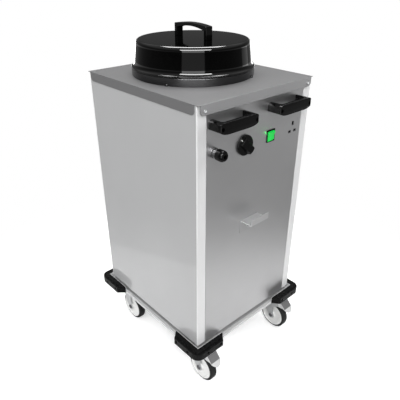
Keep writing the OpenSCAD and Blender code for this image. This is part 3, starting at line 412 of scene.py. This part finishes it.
collar_steel = brushed("collar_steel", (20, 20, 900), (0.065, 0.065, 0.066), 0.25)
tube_y = middle("lid_shell").y
collar_r, collar_h, mouth_r, mouth_drop, wall_t = 169.2, 20, 145.9, 7, 3.8
hollow_r, lip_r, hollow_h = collar_r - wall_t, mouth_r + wall_t, collar_h - wall_t
collar = turned([(hollow_r, 0), (collar_r, 0), (collar_r, collar_h), (mouth_r, collar_h),
    (mouth_r, -mouth_drop), (lip_r, -mouth_drop), (lip_r, hollow_h), (hollow_r, hollow_h)], 144)
parts = [set_down(rounded(collar, 1.6, 4), (0, tube_y, top_high.z))]
first_lug, lug_r, lug_h = -154.5, 4, 5
for turn in range(0, 360, 90):
    a = math.radians(first_lug + turn)
    lug = rounded(drum(lug_r, lug_h, sides=24), 1.2, 3)
    parts.append(set_down(lug, (collar_r * math.cos(a), tube_y + collar_r * math.sin(a), top_high.z)))
settle(joined(parts), "collar_ring", collar_steel, "black_plastic", "cabinet", "tube_collar")


# Dispenser tube and what stands in it: rolled stainless tube hung in the top plate by its flange,
# guide rods that keep the plates in line, and the ring-shaped heating element on its base.
inner_steel = brushed("inner_steel", (300, 300, 20), (0.55, 0.55, 0.56), 0.34)
heater_steel, at = start_finish("heater_sheath", Metallic=0.9)
scale_marks = at.grain((120, 120, 120), 3)
lay_on(heater_steel,
    Base_Color=scale_marks.mix((0.16, 0.13, 0.11), (0.3, 0.27, 0.25)),
    Roughness=scale_marks * 0.2 + 0.35,
    Normal=scale_marks.bump(0.05, 0.0003))
for node, width in (("dispenser_tube", 0.3), ("tube_base", 0.4), ("plate_guides", 0.6), ("spring_ring", 0.4)):
    settle(rounded(merged(node), width), node + "_sheet", inner_steel, "inner_steel", "cabinet", node)
settle(rounded(merged("heater"), 0.5), "heating_element", heater_steel, "inner_steel", "cabinet", "heater")


# Plate lift: a pressed platform on a carriage whose three arms reach out through the tube's
# slots to the springs. It slides down as plates are put on it.
settle(rounded(merged("platform"), 0.8, 3), "plate_platform", inner_steel, "inner_steel", "lift", "platform")
settle(rounded(merged("carriage"), 0.6), "lift_carriage", zinc, "inner_steel", "lift", "carriage")


# Lift springs: three close coils of spring wire between the ring round the tube and the
# carriage's arms, outside the tube. On the cart they stretch as the platform goes down; here they are built
# at one length.
low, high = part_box("lift_springs")
turns, wire_r, coil_r, arm_r, end_gap = 62, 0.8, 6.1, 170, 0.9
coils = []
for turn in (30, 150, 270):
    a = math.radians(turn)
    clear()
    bpy.ops.mesh.primitive_circle_add(vertices=6, radius=wire_r / 1000,
        location=(coil_r / 1000, 0, 0), rotation=(math.radians(90), 0, 0))
    bpy.ops.object.transform_apply()
    coil = bpy.context.object
    winding = coil.modifiers.new("winding", "SCREW")
    winding.steps = winding.render_steps = 14
    winding.iterations = turns
    winding.screw_offset = (high.z - low.z - 2 * end_gap / 1000) / turns
    bpy.ops.object.modifier_apply(modifier="winding")
    bpy.ops.object.mode_set(mode="EDIT")
    bpy.ops.mesh.select_all(action="SELECT")
    bpy.ops.mesh.normals_make_consistent(inside=False)
    bpy.ops.object.mode_set(mode="OBJECT")
    bpy.ops.object.shade_smooth()
    coils.append(set_down(coil, (arm_r * math.cos(a), tube_y + arm_r * math.sin(a), low.z * 1000 + end_gap)))
springs = joined(coils)
springs.name = springs.data.name = "lift_spring_coils"
springs.data.materials.clear()
springs.data.materials.append(zinc)
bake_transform(springs)
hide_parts("lift_springs")


# Lid: spun from sheet and enamelled black. It has a flared foot, a slightly tapered wall, a tight
# round shoulder and a flat crown. The enamel lies thicker and glossier on the shoulder and foot.
def quarter(x, z, rx, rz, start, end, steps=10):
    """Points along an arc of an ellipse about (x, z), from one angle to another."""
    turns = [math.radians(start + (end - start) * i / steps) for i in range(steps + 1)]
    return [(x + rx * math.cos(t), z + rz * math.sin(t)) for t in turns]


def lacquer(name, dark, light, shine, roughness):
    """A glossy black, and its place. The shine is 0.5 for plain plastic and less where it is dulled."""
    finish, at = start_finish(name, IOR=1.5, Specular_IOR_Level=shine)
    film = at.grain((90, 90, 90), 2)
    lay_on(finish, Base_Color=film.mix(dark, light), Roughness=film * 0.04 + roughness)
    return finish, at


lid_z, crown_z = [corner.z * 1000 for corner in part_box("lid_shell")]
foot_r, wall_r, crown_r, lid_t = 169.5, 160.6, 155.6, 3
foot_h, flare_h, shoulder_w, shoulder_h = 4, 15, 10, 12
foot_gloss, shoulder_gloss, shoulder_half = 17.5, 6.2, 5.8
lid_h = crown_z - lid_z
lid_gloss, at = lacquer("lid_enamel", (0.0005, 0.0005, 0.0005), (0.0015, 0.0015, 0.0015),
    shine=0.045, roughness=0.05)
on_foot = at.reckon("LESS_THAN", at.part("Z"), (lid_z + foot_gloss) / 1000)
on_shoulder = at.reckon("COMPARE", at.part("Z"), (crown_z - shoulder_gloss) / 1000, shoulder_half / 1000)
lay_on(lid_gloss, Coat_Weight=0.6 * (on_foot + on_shoulder))
bend_r, bend_h = crown_r - shoulder_w, lid_h - shoulder_h
outside = [(0, lid_h), *reversed(quarter(bend_r, bend_h, shoulder_w, shoulder_h, 0, 90, 12)),
    *reversed(quarter(foot_r, foot_h + flare_h, foot_r - wall_r, flare_h, 270, 180, 12)), (foot_r, 0)]
inside = [(foot_r - lid_t, 0),
    *quarter(foot_r, flare_h, foot_r - wall_r + lid_t, flare_h - lid_t, 270, 180, 10),
    *quarter(bend_r - lid_t, bend_h, shoulder_w, shoulder_h - lid_t, 0, 90, 10), (0, lid_h - lid_t)]
lid = set_down(rounded(turned(outside + inside, 144), 0.8, 3), (0, tube_y, lid_z))
settle(lid, "lid_cover", lid_gloss, "black_plastic", "lid", "lid_shell")


# Lid handle: a bow moulded in black plastic, its bar arched and its legs thick, held by two
# screws from inside the lid.
def cut_out(outline, depth):
    """A flat outline in millimetres on XY, filled and given its depth upwards."""
    piece = trace([(x, y, 0) for x, y in outline])
    bpy.ops.mesh.edge_face_add()
    bpy.ops.mesh.extrude_region_move(TRANSFORM_OT_translate={"value": (0, 0, depth / 1000)})
    bpy.ops.mesh.select_all(action="SELECT")
    bpy.ops.mesh.normals_make_consistent(inside=False)
    bpy.ops.object.mode_set(mode="OBJECT")
    return piece


def arch(top, radius, last, step):
    """Points of an arch whose middle is at height top, from -last to last along X."""
    return [(x, top - radius + math.sqrt(radius ** 2 - x ** 2)) for x in range(-last, last + 1, step)]


gloss_black, at = lacquer("moulded_gloss_black", (0.001, 0.001, 0.001), (0.003, 0.003, 0.003),
    shine=0.13, roughness=0.07)
bow_end, leg_in, leg_h, bow_w = 64.5, 54.5, 32, 22
over = arch(top=38.7, radius=404, last=63, step=9)
under = arch(top=30.3, radius=192, last=54, step=9)
handle = cut_out([(-bow_end, 0), (-bow_end, leg_h), *over, (bow_end, leg_h), (bow_end, 0),
    (leg_in, 0), *reversed(under), (-leg_in, 0)], bow_w)
handle = rounded(set_down(handle, (0, bow_w / 2, 0), (90, 0, 0)), 2.2, 4)
handle = set_down(handle, (0, tube_y, crown_z), (0, 0, -90))
settle(handle, "lid_bow_handle", gloss_black, "black_plastic", "lid", "lid_handle")
painted("lid_screws", zinc)


# Push handles: U-shaped bows moulded in black plastic. Each is held by two screws that go in from
# the front, down the deep bores in its corners.
def worked(piece, operation, *tools):
    """Takes the tools' shapes out of a piece, or leaves only what lies in them."""
    for tool in tools:
        take(piece)
        cut = piece.modifiers.new("cut", "BOOLEAN")
        cut.operation, cut.solver, cut.object = operation, "EXACT", tool
        bpy.ops.object.modifier_apply(modifier="cut")
        bpy.data.objects.remove(tool)
    return piece


def push_handle():
    """One handle about its middle, its arms' feet on Y = 0 and its bar before them."""
    half_l, reach, bar_h, arm_w, inside_reach = 63.5, 41.7, 28.6, 14, 31.2
    corner_r, inside_r, end_r, end_w = 3, 7, 10, 32
    corner_x, inside_x = half_l - corner_r, half_l - arm_w - inside_r
    outline = [
        (-half_l, 0), *quarter(-corner_x, corner_r - reach, corner_r, corner_r, 180, 270, 4),
        *quarter(corner_x, corner_r - reach, corner_r, corner_r, 270, 360, 4),
        (half_l, 0), (half_l - arm_w, 0),
        *quarter(inside_x, inside_r - inside_reach, inside_r, inside_r, 0, -90, 6),
        *quarter(-inside_x, inside_r - inside_reach, inside_r, inside_r, -90, -180, 6), (arm_w - half_l, 0)]
    bow = set_down(cut_out(outline, bar_h), (0, 0, -bar_h / 2))
    upper_x, lower_x, bend_z = half_l - end_r, half_l - end_w, bar_h / 2 - end_r
    ends = [
        *quarter(upper_x, bend_z, end_r, end_r, 0, 90, 6),
        *quarter(-upper_x, bend_z, end_r, end_r, 90, 180, 6),
        *quarter(-lower_x, -bend_z, end_w, end_r, 180, 270, 9),
        *quarter(lower_x, -bend_z, end_w, end_r, 270, 360, 9)]
    bow = worked(bow, "INTERSECT", set_down(cut_out(ends, 60), (0, 10, 0), (90, 0, 0)))
    drill_r, drill_depth, drill_x = 4.6, 26, half_l - arm_w / 2
    drills = [set_down(drum(drill_r, drill_depth + 1), (x, -reach - 1, 0), (-90, 0, 0))
        for x in (-drill_x, drill_x)]
    return worked(rounded(bow, 2.2, 4, 30), "DIFFERENCE", *drills)


face_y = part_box("front_panel")[0].y * 1000
for side in ("left", "right"):
    spot = middle("handle_" + side)
    settle(set_down(push_handle(), (spot.x, face_y, spot.z)), "push_handle_" + side, gloss_black,
        "black_plastic", "cabinet", "handle_" + side)


# Cable gland: a flanged neck of dull metal on the panel, and a black domed nut that is turned down
# on the cord's seal.
neck_metal, at = start_finish("gland_metal", Metallic=1.0)
turning = at.grain((200, 800, 200), 2)
lay_on(neck_metal,
    Base_Color=turning.mix((0.09, 0.09, 0.092), (0.15, 0.15, 0.152)),
    Roughness=turning * 0.1 + 0.4)
gland_spot = (middle("gland_body").x, face_y, middle("gland_body").z)
bore_r, nut_r, dome_r, nut_z, dome_z, gland_l = 5, 14.3, 8.5, 18, 30, 40
neck = turned([(9, nut_z), (11, nut_z), (11, 6), (13.5, 6), (13.5, 0),
    (bore_r, 0), (bore_r, dome_z), (9, dome_z)], 48)
settle(set_down(rounded(neck, 0.5), gland_spot, (90, 0, 0)), "gland_neck", neck_metal,
    "black_plastic", "cabinet", "gland_body")
nut = turned([(9.2, nut_z), (nut_r, nut_z),
    *quarter(dome_r, dome_z, nut_r - dome_r, gland_l - dome_z, 0, 90, 8),
    (bore_r, gland_l), (bore_r, dome_z + 1), (9.2, dome_z + 1)], 48)
settle(set_down(rounded(nut, 0.6), gland_spot, (90, 0, 0)), "gland_dome_nut", gloss_black,
    "black_plastic", "cabinet", "gland_nut")


# Thermostat knob: a moulded skirt with a grip bar across it. The bar is cut down at its upper left,
# where a white index line stands on the skirt. It turns on the thermostat's spindle.
knob_x, knob_z, knob_r, knob_h, knob_turn = -49, 750, 27, 17.3, 133
skirt_low, skirt_high, grip_low, grip_end, cut_l = 0.3, 6.3, 2, 18.5, 60
skirt = turned([(0, skirt_low), (knob_r, skirt_low), (knob_r, skirt_high), (0, skirt_high)], 72)
grip = turned([(0, grip_low), (26.6, grip_low), (24.8, knob_h - 2), (22.8, knob_h), (0, knob_h)], 64)
wedge = cut_out([(-knob_r, grip_low), (grip_end, grip_low), (grip_end, 11.2),
    (-13.5, knob_h), (-knob_r, knob_h)], cut_l)
wedge = set_down(wedge, (0, cut_l / 2, 0), (90, 0, 0))
flanks = set_down(cut_out([(-13.5, 0), (13.5, 0), (9.5, 18), (-9.5, 18)], cut_l), turn=(90, 0, 90))
flanks = set_down(flanks, (-cut_l / 2, 0, 0))
grip = worked(grip, "INTERSECT", wedge, flanks)
knob = joined([rounded(skirt, 1.4, 3), rounded(grip, 0.9, 3, 25)])
index_low, index_high, index_half, index_z, index_t = 18.9, 25.8, 1.1, 5.9, 0.8
index = cut_out([(index_low, -index_half), (index_high, -index_half),
    (index_high, index_half), (index_low, index_half)], index_t)
index = set_down(index, (0, 0, index_z))
knob, index = [set_down(set_down(part, turn=(0, 0, knob_turn)), (knob_x, face_y, knob_z), (90, 0, 0))
    for part in (knob, index)]
settle(knob, "thermostat_knob", gloss_black, "black_plastic", "knob", "knob")
index_white, at = start_finish("index_white", Roughness=0.5)
lay_on(index_white, Base_Color=at.grain((300, 300, 300)).mix((0.72, 0.72, 0.7), (0.82, 0.82, 0.8)))
settle(index, "knob_index_line", index_white, "wheel_white", "knob")
painted("knob_spindle", zinc)
matt_black, at = start_finish("moulded_matt_black", IOR=1.5, Specular_IOR_Level=0.15)
spark = at.grain((900, 900, 900), 2)
lay_on(matt_black,
    Base_Color=spark.mix((0.003, 0.003, 0.003), (0.007, 0.007, 0.0072)),
    Roughness=spark * 0.15 + 0.42,
    Normal=spark.bump(0.06, 0.0002))
painted("thermostat", matt_black)


# Rocker switch: a black bezel and box clipped into the panel, and a green lens that is lit while
# the heating is on. What mirrors the lens sees it brighter, as the lamp in it would be.
settle(rounded(merged("switch_housing"), 0.35), "switch_bezel", gloss_black,
    "black_plastic", "cabinet", "switch_housing")
lens, at = start_finish("green_lens", IOR=1.49, Emission_Strength=0.35)
glow = at.grain((60, 60, 60), 1)
mirrored = at.node("LightPath", out="Is Glossy Ray")
lay_on(lens,
    Base_Color=glow.mix((0.0, 0.3, 0.03), (0.01, 0.5, 0.07)),
    Emission_Color=glow.mix((0.0, 0.62, 0.05), (0.03, 0.95, 0.14)).times(1 + mirrored * 30),
    Roughness=glow * 0.1 + 0.15)
settle(rounded(merged("rocker"), 0.6, 3), "rocker_lens", lens, "lit_green", "rocker", "rocker")


# Plug park: a black moulding behind three slots in the panel, which holds the cart's plug while
# the cord is put away. The screws and nuts of the front fittings are zinc plated.
painted("plug_park", matt_black)
park = middle("plug_park")
liner_w, liner_t, hole_t = 1, 0.8, 4
slot_x, slot_z = 11.1, 11.2
liners = []
for dx, dz, width, height in ((0, slot_z, 5, 9), (-slot_x, -slot_z, 7.4, 5), (slot_x, -slot_z, 7.4, 5)):
    half_w, half_h = width / 2, height / 2
    rim, hole = [set_down(cut_out([(-w, -h), (w, -h), (w, h), (-w, h)], deep), (0, 0, -deep / 4))
        for w, h, deep in ((half_w + liner_w, half_h + liner_w, liner_t), (half_w, half_h, hole_t))]
    liners.append(set_down(worked(rim, "DIFFERENCE", hole), (park.x + dx, face_y, park.z + dz), (90, 0, 0)))
settle(rounded(joined(liners), 0.15), "plug_park_liners", matt_black, "black_plastic", "cabinet")
painted("panel_fixings", zinc)


# Cable hook: a strip of stainless sheet bent to a shelf with a lip, screwed to the front panel.
# Its flange is ground like the panel, and its shelf and lip are painted brighter: a painted highlight.
hook_steel, at = start_finish("hook_steel", Metallic=1.0)
scratches = at.grain((18, 900, 900), 3)
flange_depth = 2.2
# Painted highlight: all of the strip that stands out beyond its flange is painted lighter.
painted_highlight_shelf = at.reckon("LESS_THAN", at.part("Y"), (face_y - flange_depth) / 1000)
lay_on(hook_steel,
    Base_Color=(scratches * 0.3 + painted_highlight_shelf * 0.7).mix((0.46, 0.46, 0.464), (0.68, 0.68, 0.685)),
    Roughness=scratches * 0.12 + 0.34,
    Normal=scratches.bump(0.05, 0.0002))
settle(rounded(merged("cable_hook"), 0.45, 3), "cable_hook_strip", hook_steel,
    "steel", "cabinet", "cable_hook")
# Painted shade: a matt black disc on the hook's screw head stands in for the dark of its socket.
hook_screw_x, hook_screw_z, head_depth, shade_disc_r, shade_disc_t = -21, 503, 3.4, 2, 0.5
screw_spot = (hook_screw_x, face_y - head_depth, hook_screw_z)
socket = set_down(drum(shade_disc_r, shade_disc_t, sides=16), screw_spot, (90, 0, 0))
settle(socket, "hook_screw_shade_disc", matt_black, "black_plastic", "cabinet")


# Corner bumpers: black plastic mouldings round the chassis' corners, with a thin step along the
# top, slanted ends and deep holes for their screws.
bumper_black, at = start_finish("bumper_plastic", IOR=1.5, Specular_IOR_Level=0.08)
spark = at.grain((700, 700, 700), 3)
scuffs = at.grain((60, 60, 220), 3)
lay_on(bumper_black,
    Base_Color=(spark * 0.4 + scuffs * 0.6).mix((0.002, 0.002, 0.002), (0.006, 0.006, 0.0061)),
    Roughness=scuffs * 0.14 + 0.2,
    Normal=spark.bump(0.08, 0.0002))
for corner_name in ("fl", "fr", "rl", "rr"):
    node = "bumper_" + corner_name
    settle(rounded(merged(node), 0.7, 3), node + "_moulding", bumper_black, "bumper_plastic", "cabinet", node)
painted("bumper_screws", zinc)


# Castor mounts: zinc plated plates bolted under the cross channels, each with a ball race and a
# kingpin.
settle(rounded(merged("castor_plates"), 0.6), "castor_mounts", zinc, "zinc", "cabinet", "castor_plates")
settle(rounded(merged("castor_bolts"), 0.4), "castor_bolt_set", zinc, "zinc", "cabinet", "castor_bolts")


# Castors: forks pressed from zinc plated steel, dark axle bolts, white nylon wheel centres with a
# ring of dimples, and dark rubber tyres. The two front ones have a brake pedal whose ribbed pad is painted
# dark, as painted shade.
nylon, at = start_finish("wheel_nylon", IOR=1.5)
moulding = at.grain((150, 150, 150), 2)
lay_on(nylon,
    Base_Color=moulding.mix((0.6, 0.6, 0.595), (0.68, 0.68, 0.672)),
    Roughness=moulding * 0.12 + 0.3,
    Normal=moulding.bump(0.03, 0.0003))
rubber, at = start_finish("tyre_rubber", IOR=1.5, Specular_IOR_Level=0.1)
dust = at.grain((220, 220, 220), 3)
lay_on(rubber,
    Base_Color=dust.mix((0.008, 0.008, 0.0082), (0.02, 0.02, 0.0205)),
    Roughness=dust * 0.2 + 0.45,
    Normal=dust.bump(0.05, 0.0004))
fork_zinc, at = start_finish("fork_zinc", Metallic=0.8)
spangle = at.grain((260, 260, 260), 2)
lay_on(fork_zinc,
    Base_Color=spangle.mix((0.42, 0.425, 0.43), (0.54, 0.545, 0.55)),
    Roughness=spangle * 0.18 + 0.26)
pedal_zinc, at = start_finish("pedal_zinc", Metallic=0.2)
spangle = at.grain((260, 260, 260), 2)
lay_on(pedal_zinc,
    Base_Color=spangle.mix((0.5, 0.5, 0.503), (0.6, 0.6, 0.603)),
    Roughness=spangle * 0.18 + 0.26)
# Painted shade: the pad on the pedal's slope is painted far darker than the pedal's zinc, for the shade that
# slope takes.
tread_zinc_painted_shade, at = start_finish("tread_zinc_painted_shade", Metallic=0.5)
ribs = at.grain((700, 700, 40), 2)
lay_on(tread_zinc_painted_shade,
    Base_Color=ribs.mix((0.13, 0.13, 0.132), (0.2, 0.2, 0.203)),
    Roughness=ribs * 0.18 + 0.34,
    Normal=ribs.bump(0.1, 0.0003))
dark_bolt = brushed("axle_bolt_steel", (300, 300, 300), (0.12, 0.12, 0.125), 0.5)
tyre_r, tyre_half, rim_r, corner_r = 50, 11, 39, 4
dimples, dimple_ring_r, dimple_r, drill_l = 20, 31, 1.5, 4
half = [(5.1, 15.7), (12, 15.7), (14.5, 11.5), (18, 11), (35.5, 11),
    (37, 13.6), (41.8, 12.9), (42.4, 11.2), (rim_r, 11.1)]
wheel = rounded(turned([*[(r, -h) for r, h in half], *reversed(half)], 72), 0.6)
drills = []
for i in range(dimples):
    a = 2 * math.pi * i / dimples
    x, y = dimple_ring_r * math.cos(a), dimple_ring_r * math.sin(a)
    drills += [drum(dimple_r, drill_l, (x, y, face - drill_l / 2), 10) for face in (-tyre_half, tyre_half)]
wheel = worked(wheel, "DIFFERENCE", joined(drills))
tread_r, tread_z = tyre_r - corner_r, tyre_half - corner_r
tyre = turned([(rim_r + 0.02, -tyre_half), *quarter(tread_r, -tread_z, corner_r, corner_r, 270, 360, 6),
    *quarter(tread_r, tread_z, corner_r, corner_r, 0, 90, 6), (rim_r + 0.02, tyre_half)], 96)
tyre = rounded(tyre, 0.5)
pad_x, pad_low, pad_high, pad_t, pad_slope = 17.5, -12.6, 12.4, 1.2, 45
pad_from_hub = Vector((0, -45.5, 65.8))
for corner_name in ("fl", "fr", "rl", "rr"):
    castor, roller, hub = "castor_" + corner_name, "roller_" + corner_name, middle("wheel_" + corner_name)
    settle(rounded(merged("fork_" + corner_name), 0.7, 3), castor + "_fork", fork_zinc,
        "zinc", castor, "fork_" + corner_name)
    settle(rounded(merged("axle_" + corner_name), 0.5), castor + "_axle", dark_bolt,
        "zinc", castor, "axle_" + corner_name)
    settle(set_down(again(wheel), hub, (0, 90, 0)), roller + "_wheel", nylon,
        "wheel_white", roller, "wheel_" + corner_name)
    settle(set_down(again(tyre), hub, (0, 90, 0)), roller + "_tyre", rubber,
        "tyre_dark", roller, "tyre_" + corner_name)
    if corner_name in ("fl", "fr"):
        settle(rounded(merged("pedal_" + corner_name), 0.6, 3), "brake_pedal_" + corner_name, pedal_zinc,
            "zinc", "brake_" + corner_name, "pedal_" + corner_name)
        pad = cut_out([(-pad_x, pad_low), (pad_x, pad_low), (pad_x, pad_high), (-pad_x, pad_high)], pad_t)
        pad = set_down(rounded(pad, 0.3), hub + pad_from_hub, (pad_slope, 0, 0))
        settle(pad, "brake_pad_" + corner_name, tread_zinc_painted_shade, "zinc", "brake_" + corner_name)
bpy.data.objects.remove(wheel)
bpy.data.objects.remove(tyre)


# Studio: a pale floor that fades out round the cart, a white surround, and soft lamps. What mirrors
# them sees a darker floor, with a lighter sheet near the cart, and a grey band low in the surround.
# The lamps named gleam are seen only in reflections, and the others light the cart and the floor.
bpy.ops.mesh.primitive_circle_add(vertices=96, radius=6, fill_type="NGON", location=(0, 0, 0))
floor = bpy.context.object
floor.name = "floor"
paper, at = start_finish("floor_paper", Roughness=0.9, Emission_Strength=1.0)
tree = paper.node_tree
fade = at.node("VectorMath", {"operation": "LENGTH"}, {0: at}, out="Value").smooth(0.5, 1.1)
seen, mirrored = [at.node("LightPath", out=ray) for ray in ("Is Camera Ray", "Is Glossy Ray")]
edge_x, edge_y, edge_start = 0.912, 0.412, -0.65
near_sheet = at.reckon("GREATER_THAN", at.part("X") * edge_x - at.part("Y") * edge_y, edge_start)
lay_on(paper, Base_Color=0.9 - mirrored * (0.45 - near_sheet * 0.22), Emission_Color=seen * 0.28)
clear_air = at.node("BsdfTransparent")
blend = tree.nodes.new("ShaderNodeMixShader")
tree.links.new(fade.socket, blend.inputs[0])
tree.links.new(tree.nodes["Principled BSDF"].outputs[0], blend.inputs[1])
tree.links.new(clear_air.socket, blend.inputs[2])
tree.links.new(blend.outputs[0], tree.nodes["Material Output"].inputs["Surface"])
floor.data.materials.append(paper)

world = bpy.data.worlds.new("surround")
bpy.context.scene.world = world
world.use_nodes = True
tree = world.node_tree
tree.nodes.clear()
way = Shade(tree, tree.nodes.new("ShaderNodeTexCoord").outputs["Generated"])
height = way.part("Z")
sky = height.smooth(-0.5, 0.9, 0.38, 0.7)
grey_band = height.smooth(-0.02, 0.08) - height.smooth(0.3, 0.7)
seen, mirrored = [way.node("LightPath", out=ray) for ray in ("Is Camera Ray", "Is Glossy Ray")]
strength = seen + (1 - seen) * sky * (1 - mirrored * 0.75 * grey_band)
background = tree.nodes.new("ShaderNodeBackground")
background.inputs["Color"].default_value = (1, 1, 1, 1)
tree.links.new(strength.socket, background.inputs["Strength"])
tree.links.new(background.outputs[0], tree.nodes.new("ShaderNodeOutputWorld").inputs["Surface"])

for name, spot, aim, width, height, power in (
        ("key", (-1.6, -2.2, 2.9), (0, 0, 0.5), 1.4, 1.4, 70),
        ("gleam_front", (-1.6, -2.2, 2.9), (0, 0, 0.8), 3.4, 0.9, 280),
        ("gleam_door", (-1.9, -2.15, 1.0), (0, 0, 1), 2.2, 2.4, 65),
        ("gleam_back", (1.1, 2.8, 0.35), (0, 0, 0.35), 0.5, 0.8, 12),
        ("gleam_side", (2.65, 1.4, 0.4), (0, 0, 0.4), 0.5, 0.8, 5),
        ("gleam_right", (2.6, -0.6, 0.4), (0, 0, 0.4), 1.1, 0.9, 4),
        ("gleam_top", (0.5, 0.55, 3.3), (0, 0, 1), 2.4, 1.0, 200),
        ("left", (-2.8, 0.6, 1.4), (0, 0, 0.5), 1.2, 1.8, 35),
        ("right", (2.4, -1.8, 2.2), (0, 0, 0.5), 1.2, 1.6, 35),
        ("overhead", (0.2, 0.6, 3.2), (0, 0, 0.6), 1.8, 1.8, 40)):
    bpy.ops.object.light_add(type="AREA", location=spot)
    lamp = bpy.context.object
    lamp.name = "lamp_" + name
    gleam = name.startswith("gleam")
    lamp.visible_camera, lamp.visible_glossy, lamp.visible_diffuse = False, gleam, not gleam
    lamp.data.shape, lamp.data.size, lamp.data.size_y, lamp.data.energy = "RECTANGLE", width, height, power
    lamp.rotation_euler = (Vector(aim) - Vector(spot)).to_track_quat("-Z", "Y").to_euler()
bpy.context.scene.view_settings.view_transform = "Standard"

clear()
